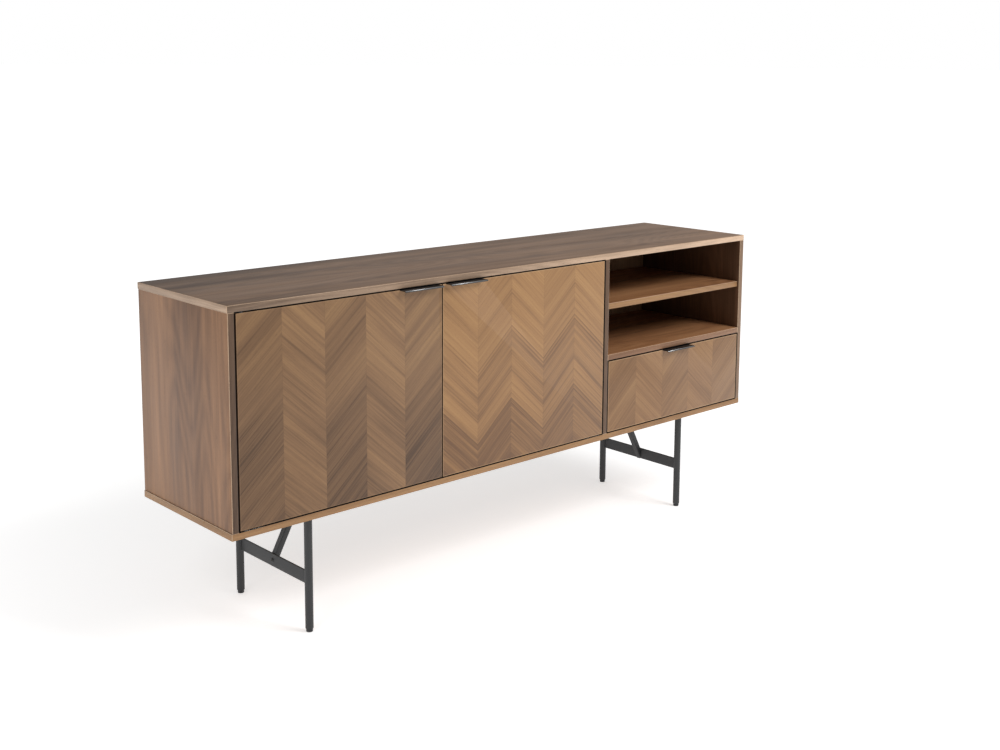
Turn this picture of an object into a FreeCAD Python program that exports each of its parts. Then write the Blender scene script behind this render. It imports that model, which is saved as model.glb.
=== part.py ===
# Sideboard: two doors, one drawer and an open niche in a veneered box on a steel leg frame.
# Millimetres. X runs along the width, the front faces -Y, Z points up and the floor is Z = 0.
# The origin lies on the floor, under the middle of the whole outline, pulls included.
import FreeCAD, Part
import os
import re

import Sketcher

Vector = FreeCAD.Vector
PARTS_FOLDER = "parts"
SHEET_NAME = "Sizes"
EDGE_TOLERANCE = 1e-4
FLATS = 8
OUTLINES_IN_A_SKETCH = 2

SIZES = {
    # Outline
    "overall_width": 1650,
    "carcass_depth": 370,
    "carcass_height": 482,
    "leg_height": 268,
    # Boards of the box
    "board": 15,
    "end_overhang": 1.5,
    "corner_round": 2,
    "niche_width": 534,
    "drawer_room_height": 190.5,
    "niche_lower_height": 116.5,
    "niche_shelf_board": 15,
    "niche_shelf_setback": 6,
    "partition_setback": 19,
    "inner_shelf_height": 215,
    "inner_shelf_board": 15,
    "inner_shelf_setback": 45,
    "shelf_end_play": 0.5,
    # Back panel in its grooves
    "back_board": 4,
    "back_inset": 8,
    "back_groove": 7,
    "back_groove_play": 0.3,
    "back_edge_play": 0.5,
    # Dowels between the boards of the box
    "dowel_radius": 4,
    "dowel_sink": 10,
    "dowel_length": 32,
    "dowel_from_edge": 60,
    "bore_play": 0.1,
    "bore_end_play": 0.6,
    # Shelf pins
    "pin_radius": 2.5,
    "pin_sink": 7,
    "pin_reach": 8,
    "pin_from_edge": 40,
    # Doors
    "door_board": 15,
    "door_side_gap": 3.5,
    "door_middle_gap": 2.8,
    "door_bottom_gap": 2.2,
    "door_top_gap": 2.5,
    "front_round": 0.5,
    # Pivot hinges at the top and bottom of each door
    "pivot_from_edge": 13.5,
    "pivot_from_front": 6,
    "pivot_radius": 2.5,
    "pivot_length": 9.5,
    "pivot_play": 0.06,
    "bush_radius": 4,
    "bush_length": 11,
    "bush_flange_radius": 5.5,
    "pivot_plate_length": 52,
    "pivot_plate_width": 11,
    "pivot_plate": 1.5,
    "pivot_plate_nose": 6,
    # Magnetic catches behind the doors' free corners
    "catch_width": 38,
    "catch_depth": 14,
    "catch_height": 13,
    "catch_from_gap": 64,
    "catch_play": 0.3,
    "catch_base": 3,
    "strike_width": 34,
    "strike_height": 10,
    "strike_lift": 0.8,
    "strike": 1,
    # Edge pulls of the doors and the drawer
    "pull_length": 110,
    "pull_reach": 20,
    "pull_plate": 1.5,
    "pull_lip": 3.5,
    "pull_flange": 20,
    "pull_from_gap": 10.5,
    "pull_bend": 1,
    "pull_screw_from_end": 20,
    # Drawer
    "drawer_front_board": 15,
    "drawer_side_gap": 3,
    "drawer_bottom_gap": 2.2,
    "drawer_top_gap": 3,
    "drawer_board": 12,
    "drawer_box_height": 130,
    "drawer_box_length": 318,
    "drawer_box_lift": 14,
    "drawer_floor": 5,
    "drawer_floor_lift": 10,
    "drawer_groove": 6,
    "drawer_groove_play": 0.3,
    "drawer_rebate": 6,
    "drawer_screw_from_side": 60,
    "drawer_screw_from_edge": 24,
    # Three-part runners
    "runner_width": 12.7,
    "runner_height": 45,
    "runner_length": 300,
    "runner_setback": 3,
    "runner_steel": 1.2,
    "runner_play": 0.4,
    "runner_lip": 2.4,
    "runner_depth": 10,
    "runner_screw_from_end": 35,
    # Screws
    "screw_radius": 1.6,
    "screw_head_radius": 3.2,
    "screw_head": 1.2,
    "countersink_angle": 45,
    "short_screw": 11,
    "leg_screw_radius": 2.2,
    "leg_screw_head_radius": 4.4,
    "leg_screw_head": 2.6,
    "leg_screw_length": 15,
    # Steel leg frames
    "rod_radius": 9,
    "rod_chamfer": 1.5,
    "leg_from_end": 212,
    "leg_from_front": 45,
    "leg_from_back": 44,
    "leg_plate_length": 70,
    "leg_plate_width": 46,
    "leg_plate": 3,
    "leg_plate_bevel": 6,
    "leg_plate_screw_spacing": 50,
    "glide_radius": 7.5,
    "glide_height": 7,
    "glide_stem_radius": 3,
    "glide_stem": 14,
    "bar_board": 4,
    "bar_height": 30,
    "bar_lift": 106,
    "strut_section": 15,
    "strut_wall": 1.5,
    "strut_lean_angle": 28,
    "strut_plug": 12,
    "strut_plate_width": 24,
    "strut_plate_screw_spacing": 48,
    "strut_plate_length": 64,
    "strut_bolt_radius": 2.5,
    "strut_bolt_length": 12,
    "strut_bolt_head_radius": 4,
    "strut_bolt_head": 2.4,
    "strut_bolt_head_chamfer": 1.2,
}

# Places that several pieces share, written in the named sizes
FRONT = "((pull_reach - carcass_depth) / 2)"
LEFT_END = "(-overall_width / 2)"
FLOOR = "(leg_height + board)"
CEILING = "(leg_height + carcass_height - board)"
ROOM = "(carcass_height - 2 * board)"
LEFT_WALL = "(end_overhang + board - overall_width / 2)"
RIGHT_WALL = "(overall_width / 2 - end_overhang - board)"
DIVIDER_RIGHT = f"({RIGHT_WALL} - niche_width)"
DIVIDER_LEFT = f"({DIVIDER_RIGHT} - board)"
CUPBOARD_MIDDLE = f"(({LEFT_WALL} + {DIVIDER_LEFT}) / 2)"
NICHE_MIDDLE = f"({RIGHT_WALL} - niche_width / 2)"
BACK_FRONT = "(carcass_depth - back_inset - back_board - back_groove_play)"
DEPTH_MIDDLE = f"({FRONT} + (leg_from_front + carcass_depth - leg_from_back) / 2)"
RAIL_Z = f"({FLOOR} + drawer_room_height)"
NICHE_SHELF_Z = f"({RAIL_Z} + board + niche_lower_height)"
INNER_SHELF_Z = f"({FLOOR} + inner_shelf_height)"

# Door, drawer and leg places
DOOR_WIDTH = f"(({DIVIDER_LEFT} - {LEFT_WALL}) / 2 - door_side_gap - door_middle_gap / 2)"
DOOR_HEIGHT = f"({ROOM} - door_bottom_gap - door_top_gap)"
DOOR_X = f"({LEFT_WALL} + door_side_gap)"
DOOR_Z = f"({FLOOR} + door_bottom_gap)"
DOOR_BACK = f"({FRONT} + door_board)"
PIVOT_X = f"({DOOR_X} + pivot_from_edge)"
PIVOT_Y = f"({FRONT} + pivot_from_front)"
DRAWER_FRONT_HEIGHT = "(drawer_room_height - drawer_bottom_gap - drawer_top_gap)"
DRAWER_TOP = f"({RAIL_Z} - drawer_top_gap)"
BOX_X = f"({DIVIDER_RIGHT} + runner_width)"
BOX_WIDTH = "(niche_width - 2 * runner_width)"
BOX_Y = f"({FRONT} + drawer_front_board)"
BOX_Z = f"({FLOOR} + drawer_bottom_gap + drawer_box_lift)"
RUNNER_Z = f"({BOX_Z} + drawer_box_height / 2)"
RUNNER_Y = f"({BOX_Y} + runner_setback)"
LEG_X = "(leg_from_end - overall_width / 2)"
LEG_Y = f"({FRONT} + leg_from_front)"
PLATE_Z = "(leg_height - leg_plate)"
BAR_MIDDLE = "(bar_lift + bar_height / 2)"
BAR_FACE = f"({LEG_X} + bar_board / 2)"
STRUT_RISE = f"({PLATE_Z} - {BAR_MIDDLE})"
STRUT_TOP_X = f"({BAR_FACE} + {STRUT_RISE} * tan(strut_lean_angle))"

UP, DOWN = Vector(0, 0, 1), Vector(0, 0, -1)
LEFT, RIGHT = Vector(-1, 0, 0), Vector(1, 0, 0)
BACKWARD = Vector(0, 1, 0)

document = FreeCAD.newDocument("Sideboard")
sheet = document.addObject("Spreadsheet::Sheet", SHEET_NAME)
nodes = []


def fill_sheet():
    """Writes every size into a row of the sheet and gives its cell an alias."""
    for row, (name, size) in enumerate(SIZES.items(), start=1):
        sheet.set(f"A{row}", name)
        sheet.set(f"B{row}", str(size))
        sheet.setAlias(f"B{row}", name)
    document.recompute()


def formula(text):
    """The text with each size's name pointing at its cell."""
    def point(match):
        word = match.group()
        return f"{SHEET_NAME}.{word}" if word in SIZES else word
    return re.sub(r"[A-Za-z_][A-Za-z_0-9]*", point, text)


def value(text):
    """The number that a text of sizes gives now."""
    return float(sheet.evalExpression(text))


def bind(item, **texts):
    """Binds properties of an object to texts of sizes."""
    for name, text in texts.items():
        item.setExpression(name, formula(text))


def place(item, x, y, z, direction=UP):
    """Puts an object at a bound place, with its own Z axis along a direction."""
    item.Placement = FreeCAD.Placement(Vector(), FreeCAD.Rotation(UP, direction))
    for axis, text in zip("xyz", (x, y, z)):
        item.setExpression(f".Placement.Base.{axis}", formula(text))


def rectangle(x0, y0, x1, y1):
    """A closed outline from two opposite corners."""
    return [(x0, y0), (x1, y0), (x1, y1), (x0, y1)]


def disc(x, y, radius):
    """A round outline."""
    return (x, y, radius)


def bore(x, y, radius):
    """An outline with flats, for the bores and shanks that other pieces hide."""
    turns = [number * 360 / FLATS for number in range(FLATS)]
    return [(f"({x} + {radius} * cos({turn}))", f"({y} + {radius} * sin({turn}))") for turn in turns]


class Drawing:
    """The lines, circles and bound dimensions of one sketch."""

    def __init__(self):
        self.curves = []
        self.rules = []
        self.texts = {}

    def dimension(self, kind, where, text):
        """Notes a dimension and the text that it is bound to."""
        self.texts[len(self.rules)] = text
        self.rules.append(Sketcher.Constraint(kind, *where, value(text)))

    def pin(self, curve, point, x, y):
        """Places one point of a curve."""
        self.dimension("DistanceX", (-1, 1, curve, point), x)
        self.dimension("DistanceY", (-1, 1, curve, point), y)

    def add_disc(self, x, y, radius):
        """Draws a circle."""
        curve = len(self.curves)
        self.curves.append(Part.Circle(Vector(value(x), value(y), 0), UP, value(radius)))
        self.pin(curve, 3, x, y)
        self.dimension("Radius", (curve,), radius)

    def add_polygon(self, outline):
        """Draws a closed run of straight lines."""
        first = len(self.curves)
        corners = [Vector(value(x), value(y), 0) for x, y in outline]
        lines = range(first, first + len(corners))
        for start, end in zip(corners, corners[1:] + corners[:1]):
            self.curves.append(Part.LineSegment(start, end))
        for line, (x, y) in zip(lines, outline):
            after = line + 1 if line + 1 in lines else first
            self.rules.append(Sketcher.Constraint("Coincident", line, 2, after, 1))
            self.pin(line, 1, x, y)

    def fill(self, sketch):
        """Puts everything into a sketch and binds its dimensions."""
        sketch.addGeometry(self.curves)
        sketch.addConstraint(self.rules)
        for index, text in self.texts.items():
            sketch.setExpression(f"Constraints[{index}]", formula(text))


class Piece:
    """One sub-part: a body with sketches on its own planes, at a bound place."""

    def __init__(self, label, x="0", y="0", z="0", direction=UP, keep=True):
        self.body = document.addObject("PartDesign::Body", label)
        self.body.Label = label
        place(self.body, x, y, z, direction)
        if keep:
            nodes.append(self.body)

    def sketch(self, role, outlines, lift):
        """Draws outlines on a plane of the body, lifted along the plane's normal."""
        sketch = self.body.newObject("Sketcher::SketchObject", "Sketch")
        planes = self.body.Origin.OriginFeatures
        sketch.AttachmentSupport = (next(p for p in planes if p.Role == role), [""])
        sketch.MapMode = "FlatFace"
        sketch.setExpression("AttachmentOffset.Base.z", formula(lift))
        drawing = Drawing()
        for outline in outlines:
            if isinstance(outline, tuple):
                drawing.add_disc(*outline)
            else:
                drawing.add_polygon(outline)
        drawing.fill(sketch)
        return sketch

    def feature(self, kind, sketch, length, reverse=False):
        """Adds a pad or a pocket of a sketch."""
        feature = self.body.newObject(f"PartDesign::{kind}", kind)
        feature.Profile = sketch
        feature.Reversed = reverse
        bind(feature, Length=length)
        document.recompute()
        return feature

    def pad_up(self, outlines, height, base="0"):
        """Adds material from a height upwards."""
        return self.feature("Pad", self.sketch("XY_Plane", outlines, base), height)

    def pad_back(self, outlines, length, start="0"):
        """Adds material from a depth backwards."""
        return self.feature("Pad", self.sketch("XZ_Plane", outlines, f"-({start})"), length, True)

    def pad_right(self, outlines, length, start="0"):
        """Adds material from a place to the right."""
        return self.feature("Pad", self.sketch("YZ_Plane", outlines, start), length)

    def cut(self, role, outlines, lift, depth):
        """Cuts against the plane's normal, a few outlines at a time, and makes sure that something went."""
        before = self.body.Shape.Volume
        for start in range(0, len(outlines), OUTLINES_IN_A_SKETCH):
            share = outlines[start:start + OUTLINES_IN_A_SKETCH]
            self.feature("Pocket", self.sketch(role, share, lift), depth)
        if self.body.Shape.Volume >= before:
            raise ValueError(f"{self.body.Label}: a cut took nothing away")

    def cut_down(self, outlines, top, depth):
        """Cuts from a height downwards."""
        self.cut("XY_Plane", outlines, top, depth)

    def cut_back(self, outlines, start, depth):
        """Cuts from a depth backwards."""
        self.cut("XZ_Plane", outlines, f"-({start})", depth)

    def cut_left(self, outlines, right, depth):
        """Cuts from a place to the left."""
        self.cut("YZ_Plane", outlines, right, depth)

    def taper(self):
        """Narrows the last feature by the countersinks' angle."""
        self.body.Tip.setExpression("TaperAngle", formula("-countersink_angle"))
        document.recompute()

    def revolve(self, outline):
        """Turns an outline on the XZ plane about the body's Z axis."""
        feature = self.body.newObject("PartDesign::Revolution", "Revolution")
        sketch = self.sketch("XZ_Plane", [outline], "0")
        feature.Profile = sketch
        feature.ReferenceAxis = (sketch, ["V_Axis"])
        document.recompute()
        return feature

    def dress(self, kind, size_name, size, wanted):
        """Dresses the edges that a test picks from the body as it is."""
        shape = self.body.Shape
        names = [f"Edge{n}" for n, edge in enumerate(shape.Edges, start=1)
                 if wanted(edge, shape.BoundBox)]
        if not names:
            raise ValueError(f"{self.body.Label}: no edge to dress")
        base = self.body.Tip
        feature = self.body.newObject(f"PartDesign::{kind}", kind)
        feature.Base = (base, names)
        bind(feature, **{size_name: size})
        document.recompute()

    def fillet(self, radius, wanted):
        """Rounds picked edges."""
        self.dress("Fillet", "Radius", radius, wanted)

    def chamfer(self, size, wanted):
        """Bevels picked edges."""
        self.dress("Chamfer", "Size", size, wanted)


def near(a, b):
    """True where two coordinates are the same."""
    return abs(a - b) < EDGE_TOLERANCE


def front_corners(edge, box):
    """The upright edges at a board's front corners."""
    ends = edge.Vertexes
    upright = near(ends[0].X, ends[-1].X) and near(ends[0].Y, ends[-1].Y)
    outside = near(ends[0].X, box.XMin) or near(ends[0].X, box.XMax)
    return upright and outside and near(ends[0].Y, box.YMin)


def face_rim(edge, box):
    """All the edges of a board's front face."""
    return all(near(end.Y, box.YMin) for end in edge.Vertexes)


def slab(label, x, y, z, width, depth, height):
    """A board, drawn from its front left lower corner."""
    piece = Piece(label, x, y, z)
    piece.pad_up([rectangle("0", "0", width, depth)], height)
    return piece


def mirrored(label, source, normal, x="0", y="0"):
    """The mirror image of a piece about an upright plane."""
    item = document.addObject("Part::Mirroring", label)
    item.Label = label
    item.Source = source
    item.Normal = normal
    item.setExpression(".Base.x", formula(x))
    item.setExpression(".Base.y", formula(y))
    nodes.append(item)
    return item


def group(label, master, places):
    """Copies of a master piece at bound places, kept as one sub-part."""
    copies = []
    for number, spot in enumerate(places, start=1):
        copy = document.addObject("App::Link", f"{label}_copy_{number}")
        copy.LinkedObject = master.body
        place(copy, *spot)
        copies.append(copy)
    item = document.addObject("Part::Compound", label)
    item.Label = label
    item.Links = copies
    nodes.append(item)
    return item


def both(text, middle):
    """A place and its mirror image about a middle."""
    return [text, f"(2 * {middle} - {text})"]


# Dowel places along the depth of the boards
DOWEL_ROWS = ("dowel_from_edge", f"({BACK_FRONT} - dowel_from_edge)")
UPRIGHTS = (
    f"({LEFT_WALL} - board / 2)",
    f"({DIVIDER_RIGHT} - board / 2)",
    f"({RIGHT_WALL} + board / 2)",
)
PARTITION_ROWS = ("(partition_setback + dowel_from_edge)", DOWEL_ROWS[1])


def upright_dowel_places():
    """Where an upright board meets the top and bottom: x and depth of each dowel."""
    spots = [(x, row) for x in UPRIGHTS for row in DOWEL_ROWS]
    return spots + [(CUPBOARD_MIDDLE, row) for row in PARTITION_ROWS]


def pivot_places():
    """The x places of the two doors' hinge pins."""
    return both(PIVOT_X, CUPBOARD_MIDDLE)


def leg_places():
    """The centres of the four legs."""
    return [(x, y) for x in both(LEG_X, "0") for y in both(LEG_Y, DEPTH_MIDDLE)]


def drill_panel(piece, lift, depth, places, radius):
    """Drills a row of holes into a top or bottom panel from a height downwards."""
    outlines = [bore(f"({x} - {LEFT_END})", row, radius) for x, row in places]
    piece.cut_down(outlines, lift, depth)


def pivot_recesses(piece, lift):
    """Lets the hinge plates into a top or bottom panel."""
    outlines = []
    for x, side in zip(pivot_places(), ("", "-")):
        near_end = f"({x} - {LEFT_END} {'+' if side else '-'} pivot_plate_nose)"
        far_end = f"({near_end} + ({side}1) * pivot_plate_length)"
        low, high = (far_end, near_end) if side else (near_end, far_end)
        y = "(pivot_from_front - pivot_plate_width / 2)"
        outlines.append(rectangle(low, y, high, f"({y} + pivot_plate_width)"))
    piece.cut_down(outlines, lift, "pivot_plate")


def pivot_screw_offsets():
    """How far the two screws of a hinge plate stand from its pin."""
    return ("(pivot_plate_length * 0.36)", "(pivot_plate_length * 0.72)")


def pivot_screw_places():
    """The x and depth of each hinge plate's screws."""
    left, right = pivot_places()
    spots = []
    for offset in pivot_screw_offsets():
        spots.append((f"({left} + {offset})", "pivot_from_front"))
        spots.append((f"({right} - {offset})", "pivot_from_front"))
    return spots


def long_panel(label, z, upper):
    """The top or the bottom of the box, with the grooves and holes of its inner face."""
    piece = slab(label, LEFT_END, FRONT, z, "overall_width", "carcass_depth", "board")
    piece.fillet("corner_round", front_corners)
    groove_end = "(end_overhang + board - back_groove)"
    groove = rectangle(groove_end, BACK_FRONT, f"(overall_width - {groove_end})",
                       "(carcass_depth - back_inset)")
    def lift(depth):
        return depth if upper else "board"
    piece.cut_down([groove], lift("back_groove"), "back_groove")
    pivot_recesses(piece, lift("pivot_plate"))
    drill_panel(piece, lift("dowel_sink"), "dowel_sink", upright_dowel_places(),
                "(dowel_radius + bore_play)")
    screw_depth = "(pivot_plate + short_screw)"
    drill_panel(piece, lift(screw_depth), screw_depth, pivot_screw_places(),
                "(screw_radius + bore_play)")
    return piece


def bottom_panel():
    """The bottom of the box, which also takes the catches' and the legs' screws."""
    piece = long_panel("bottom_panel", "leg_height", upper=False)
    catch_row = "(door_board + strike + catch_play + catch_depth / 2)"
    drill_panel(piece, "board", "short_screw", [(x, catch_row) for x in catch_places()],
                "(screw_radius + bore_play)")
    depth = "(leg_screw_length - leg_plate)"
    spots = [(x, f"({y} - {FRONT})") for x, y, _, _ in foot_screw_places()]
    drill_panel(piece, depth, depth, spots, "(leg_screw_radius + bore_play)")


def catch_places():
    """The middles of the two magnetic catches."""
    return both(f"({CUPBOARD_MIDDLE} - catch_from_gap)", CUPBOARD_MIDDLE)


def upright(label, x, setback, depth, rows):
    """An upright board with its dowel holes at both ends."""
    piece = slab(label, x, f"({FRONT} + {setback})", FLOOR, "board", depth, ROOM)
    holes = [bore("board / 2", f"({row} - {setback})", "(dowel_radius + bore_play)") for row in rows]
    deep = "(dowel_length - dowel_sink + bore_end_play)"
    piece.cut_down(holes, ROOM, deep)
    piece.cut_down(holes, deep, deep)
    return piece


def side_groove(piece, right):
    """The back panel's groove in a side board's inner face."""
    groove = rectangle(BACK_FRONT, "0", "(carcass_depth - back_inset)", ROOM)
    piece.cut_left([groove], right, "back_groove")


def pin_rows(setback):
    """The two depths at which a shelf's pins stand, from the carcass front."""
    return (f"({setback} + pin_from_edge)", f"({BACK_FRONT} - pin_from_edge)")


def pin_holes(piece, right, rows, height, setback="0"):
    """The holes of one shelf's pins in an upright board's face."""
    z = f"({height} - pin_radius - {FLOOR})"
    outlines = [bore(f"({row} - {setback})", z, "(pin_radius + bore_play)") for row in rows]
    piece.cut_left(outlines, right, "pin_sink")


def runner_rows():
    """The two depths of a runner's screws, from the runner's front end."""
    return ("runner_screw_from_end", "(runner_length - runner_screw_from_end)")


def runner_holes(piece, right):
    """The holes of the runner's screws in an upright board's face."""
    outlines = [bore(f"({RUNNER_Y} - {FRONT} + {row})", f"({RUNNER_Z} - {FLOOR})",
                     "(screw_radius + bore_play)") for row in runner_rows()]
    piece.cut_left(outlines, right, "short_screw")


def rail_holes(piece, right):
    """The dowel holes of the shelf above the drawer."""
    z = f"({RAIL_Z} + board / 2 - {FLOOR})"
    holes = [bore(row, z, "(dowel_radius + bore_play)") for row in DOWEL_ROWS]
    piece.cut_left(holes, right, "dowel_sink")


def uprights():
    """The two sides, the divider and the cupboard's partition."""
    inner_rows = pin_rows("inner_shelf_setback")
    niche_rows = pin_rows("niche_shelf_setback")
    left = upright("left_side_panel", f"({LEFT_WALL} - board)", "0", "carcass_depth", DOWEL_ROWS)
    side_groove(left, "board")
    pin_holes(left, "board", inner_rows, INNER_SHELF_Z)
    right = upright("right_side_panel", RIGHT_WALL, "0", "carcass_depth", DOWEL_ROWS)
    side_groove(right, "back_groove")
    pin_holes(right, "pin_sink", niche_rows, NICHE_SHELF_Z)
    runner_holes(right, "short_screw")
    rail_holes(right, "dowel_sink")
    divider = upright("divider_panel", DIVIDER_LEFT, "0", BACK_FRONT, DOWEL_ROWS)
    pin_holes(divider, "board", niche_rows, NICHE_SHELF_Z)
    pin_holes(divider, "pin_sink", inner_rows, INNER_SHELF_Z)
    runner_holes(divider, "board")
    rail_holes(divider, "board")
    partition = upright("centre_partition", f"({CUPBOARD_MIDDLE} - board / 2)", "partition_setback",
                        f"({BACK_FRONT} - partition_setback)", PARTITION_ROWS)
    for right_side in ("board", "pin_sink"):
        pin_holes(partition, right_side, inner_rows, INNER_SHELF_Z, "partition_setback")


def rail():
    """The fixed shelf above the drawer, with dowel holes in both ends."""
    piece = slab("drawer_top_shelf", DIVIDER_RIGHT, FRONT, RAIL_Z, "niche_width", BACK_FRONT, "board")
    holes = [bore(row, "board / 2", "(dowel_radius + bore_play)") for row in DOWEL_ROWS]
    deep = "(dowel_length - dowel_sink + bore_end_play)"
    piece.cut_left(holes, "niche_width", deep)
    piece.cut_left(holes, deep, deep)


def loose_shelf(label, x, width, setback, z, thickness):
    """A shelf that lies on four pins."""
    return slab(label, f"({x} + shelf_end_play)", f"({FRONT} + {setback})", z,
                f"({width} - 2 * shelf_end_play)", f"({BACK_FRONT} - {setback})", thickness)


def shelves():
    """The open niche's shelf and the two shelves behind the doors."""
    loose_shelf("niche_shelf", DIVIDER_RIGHT, "niche_width", "niche_shelf_setback",
                NICHE_SHELF_Z, "niche_shelf_board")
    half = f"({CUPBOARD_MIDDLE} - board / 2 - {LEFT_WALL})"
    left = loose_shelf("left_inner_shelf", LEFT_WALL, half, "inner_shelf_setback",
                       INNER_SHELF_Z, "inner_shelf_board")
    mirrored("right_inner_shelf", left.body, RIGHT, x=CUPBOARD_MIDDLE)


def back_panel():
    """The thin back, which stands in the grooves of the sides, top and bottom."""
    entry = "(back_groove - back_edge_play)"
    slab("back_panel", f"({LEFT_WALL} - {entry})", f"({FRONT} + {BACK_FRONT} + back_groove_play)",
         f"({FLOOR} - back_groove)", f"({RIGHT_WALL} - {LEFT_WALL} + 2 * {entry})", "back_board",
         f"({ROOM} + back_groove + {entry})")


def dowels():
    """The wooden dowels that hold the boards of the box together."""
    master = Piece("dowel_master", keep=False)
    master.pad_up([bore("0", "0", "dowel_radius")], "dowel_length", "-dowel_sink")
    spots = []
    for end, inwards in ((FLOOR, UP), (CEILING, DOWN)):
        spots += [(x, f"({FRONT} + {row})", end, inwards) for x, row in upright_dowel_places()]
    middle = f"({RAIL_Z} + board / 2)"
    for wall, inwards in ((DIVIDER_RIGHT, RIGHT), (RIGHT_WALL, LEFT)):
        spots += [(wall, f"({FRONT} + {row})", middle, inwards) for row in DOWEL_ROWS]
    group("dowels", master, spots)


def shelf_pins():
    """Four steel pins under each loose shelf."""
    master = Piece("pin_master", keep=False)
    master.pad_up([bore("0", "0", "pin_radius")], "(pin_sink + pin_reach)", "-pin_sink")
    spots = []
    half = "(board / 2)"
    walls = ((LEFT_WALL, RIGHT), (f"({CUPBOARD_MIDDLE} - {half})", LEFT),
             (f"({CUPBOARD_MIDDLE} + {half})", RIGHT), (DIVIDER_LEFT, LEFT))
    for x, direction in walls:
        for row in pin_rows("inner_shelf_setback"):
            spots.append((x, f"({FRONT} + {row})", f"({INNER_SHELF_Z} - pin_radius)", direction))
    for x, direction in ((DIVIDER_RIGHT, RIGHT), (RIGHT_WALL, LEFT)):
        for row in pin_rows("niche_shelf_setback"):
            spots.append((x, f"({FRONT} + {row})", f"({NICHE_SHELF_Z} - pin_radius)", direction))
    group("shelf_pins", master, spots)


def flat_screw(label, length):
    """A countersunk screw, whose face is at Z = 0 and whose tip points down."""
    piece = Piece(label, keep=False)
    piece.feature("Pad", piece.sketch("XY_Plane", [bore("0", "0", "screw_head_radius")], "0"),
                  "screw_head", True)
    piece.taper()
    piece.pad_up([bore("0", "0", "screw_radius")], f"({length} - screw_head)", f"-({length})")
    return piece


def pan_screw(label, length):
    """A pan head screw, which seats at Z = 0 and whose tip points down."""
    piece = Piece(label, keep=False)
    piece.pad_up([bore("0", "0", "screw_head_radius")], "screw_head")
    piece.pad_up([bore("0", "0", "screw_radius")], length, f"-({length})")
    return piece


def countersink(piece, role, spots, lift, depth):
    """Countersunk holes through a plate, against the normal of its face."""
    piece.cut(role, [bore(x, y, "(screw_head_radius + bore_play)") for x, y in spots], lift, "screw_head")
    piece.taper()
    if value(depth) > value("screw_head"):
        piece.cut(role, [bore(x, y, "(screw_radius + bore_play)") for x, y in spots], lift, depth)


def pull_screw_places(length):
    """The x places of a pull's two screws, from the pull's left end."""
    return ("pull_screw_from_end", f"({length} - pull_screw_from_end)")


PULL_X = f"({CUPBOARD_MIDDLE} - pull_from_gap - pull_length)"
DRAWER_PULL_X = f"({NICHE_MIDDLE} - pull_length / 2)"
PULL_Z = f"({DOOR_Z} + {DOOR_HEIGHT} - pull_plate)"
DRAWER_PULL_Z = f"({DRAWER_TOP} - pull_plate)"
STRIKE_X = f"({CUPBOARD_MIDDLE} - catch_from_gap)"
STRIKE_Z = f"({DOOR_Z} + strike_lift + strike_height / 2)"


def pull_seat(piece, start, top, thickness):
    """Lets a pull's plate into the top edge of a front."""
    seat = rectangle(start, "0", f"({start} + pull_length)", thickness)
    piece.cut_down([seat], top, "pull_plate")


def left_door():
    """The left door with its pull's seat, its bush bores at both ends and its screw holes."""
    piece = slab("left_door", DOOR_X, FRONT, DOOR_Z, DOOR_WIDTH, "door_board", DOOR_HEIGHT)
    piece.fillet("front_round", face_rim)
    bush = [bore("pivot_from_edge", "pivot_from_front", "(bush_radius + bore_play)")]
    piece.cut_down(bush, DOOR_HEIGHT, "bush_length")
    piece.cut_down(bush, "bush_length", "bush_length")
    pull_seat(piece, f"({PULL_X} - {DOOR_X})", DOOR_HEIGHT, "door_board")
    z = f"({PULL_Z} - {DOOR_Z} - pull_flange / 2)"
    spots = [(x, z) for x in pull_screw_places("pull_length")]
    spots = [(f"({PULL_X} - {DOOR_X} + {x})", z) for x, z in spots]
    spots.append((f"({STRIKE_X} - {DOOR_X})", f"({STRIKE_Z} - {DOOR_Z})"))
    holes = [bore(x, z, "(screw_radius + bore_play)") for x, z in spots]
    piece.cut_back(holes, "(door_board - short_screw)", "short_screw")
    return piece


def pull(label, x, top, thickness):
    """An edge pull: a back flange, a plate over the top edge and a lip in front."""
    lip_back = "(pull_plate - pull_reach)"
    outline = [
        ("-pull_reach", "pull_plate"), (f"({thickness} + pull_plate)", "pull_plate"),
        (f"({thickness} + pull_plate)", "-pull_flange"), (thickness, "-pull_flange"),
        (thickness, "0"), (lip_back, "0"), (lip_back, "-pull_lip"), ("-pull_reach", "-pull_lip"),
    ]
    piece = Piece(label, x, FRONT, top)
    piece.pad_right([outline], "pull_length")
    spots = [bore(end, "-pull_flange / 2", "(screw_radius + bore_play)")
             for end in pull_screw_places("pull_length")]
    piece.cut_back(spots, thickness, "pull_plate")
    def outer_bend(edge, box):
        ends = edge.Vertexes
        return all(near(end.Z, box.ZMax) for end in ends) and (
            all(near(end.Y, box.YMin) for end in ends) or all(near(end.Y, box.YMax) for end in ends))
    piece.fillet("pull_bend", outer_bend)
    return piece


def pull_screws(label, x, top, thickness):
    """The two screws behind a pull's back flange."""
    master = pan_screw(f"{label}_master", "(short_screw + pull_plate - bore_end_play)")
    y = f"({FRONT} + {thickness} + pull_plate)"
    spots = [(f"({x} + {end})", y, f"({top} - pull_flange / 2)", BACKWARD)
             for end in pull_screw_places("pull_length")]
    return group(label, master, spots)


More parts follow.
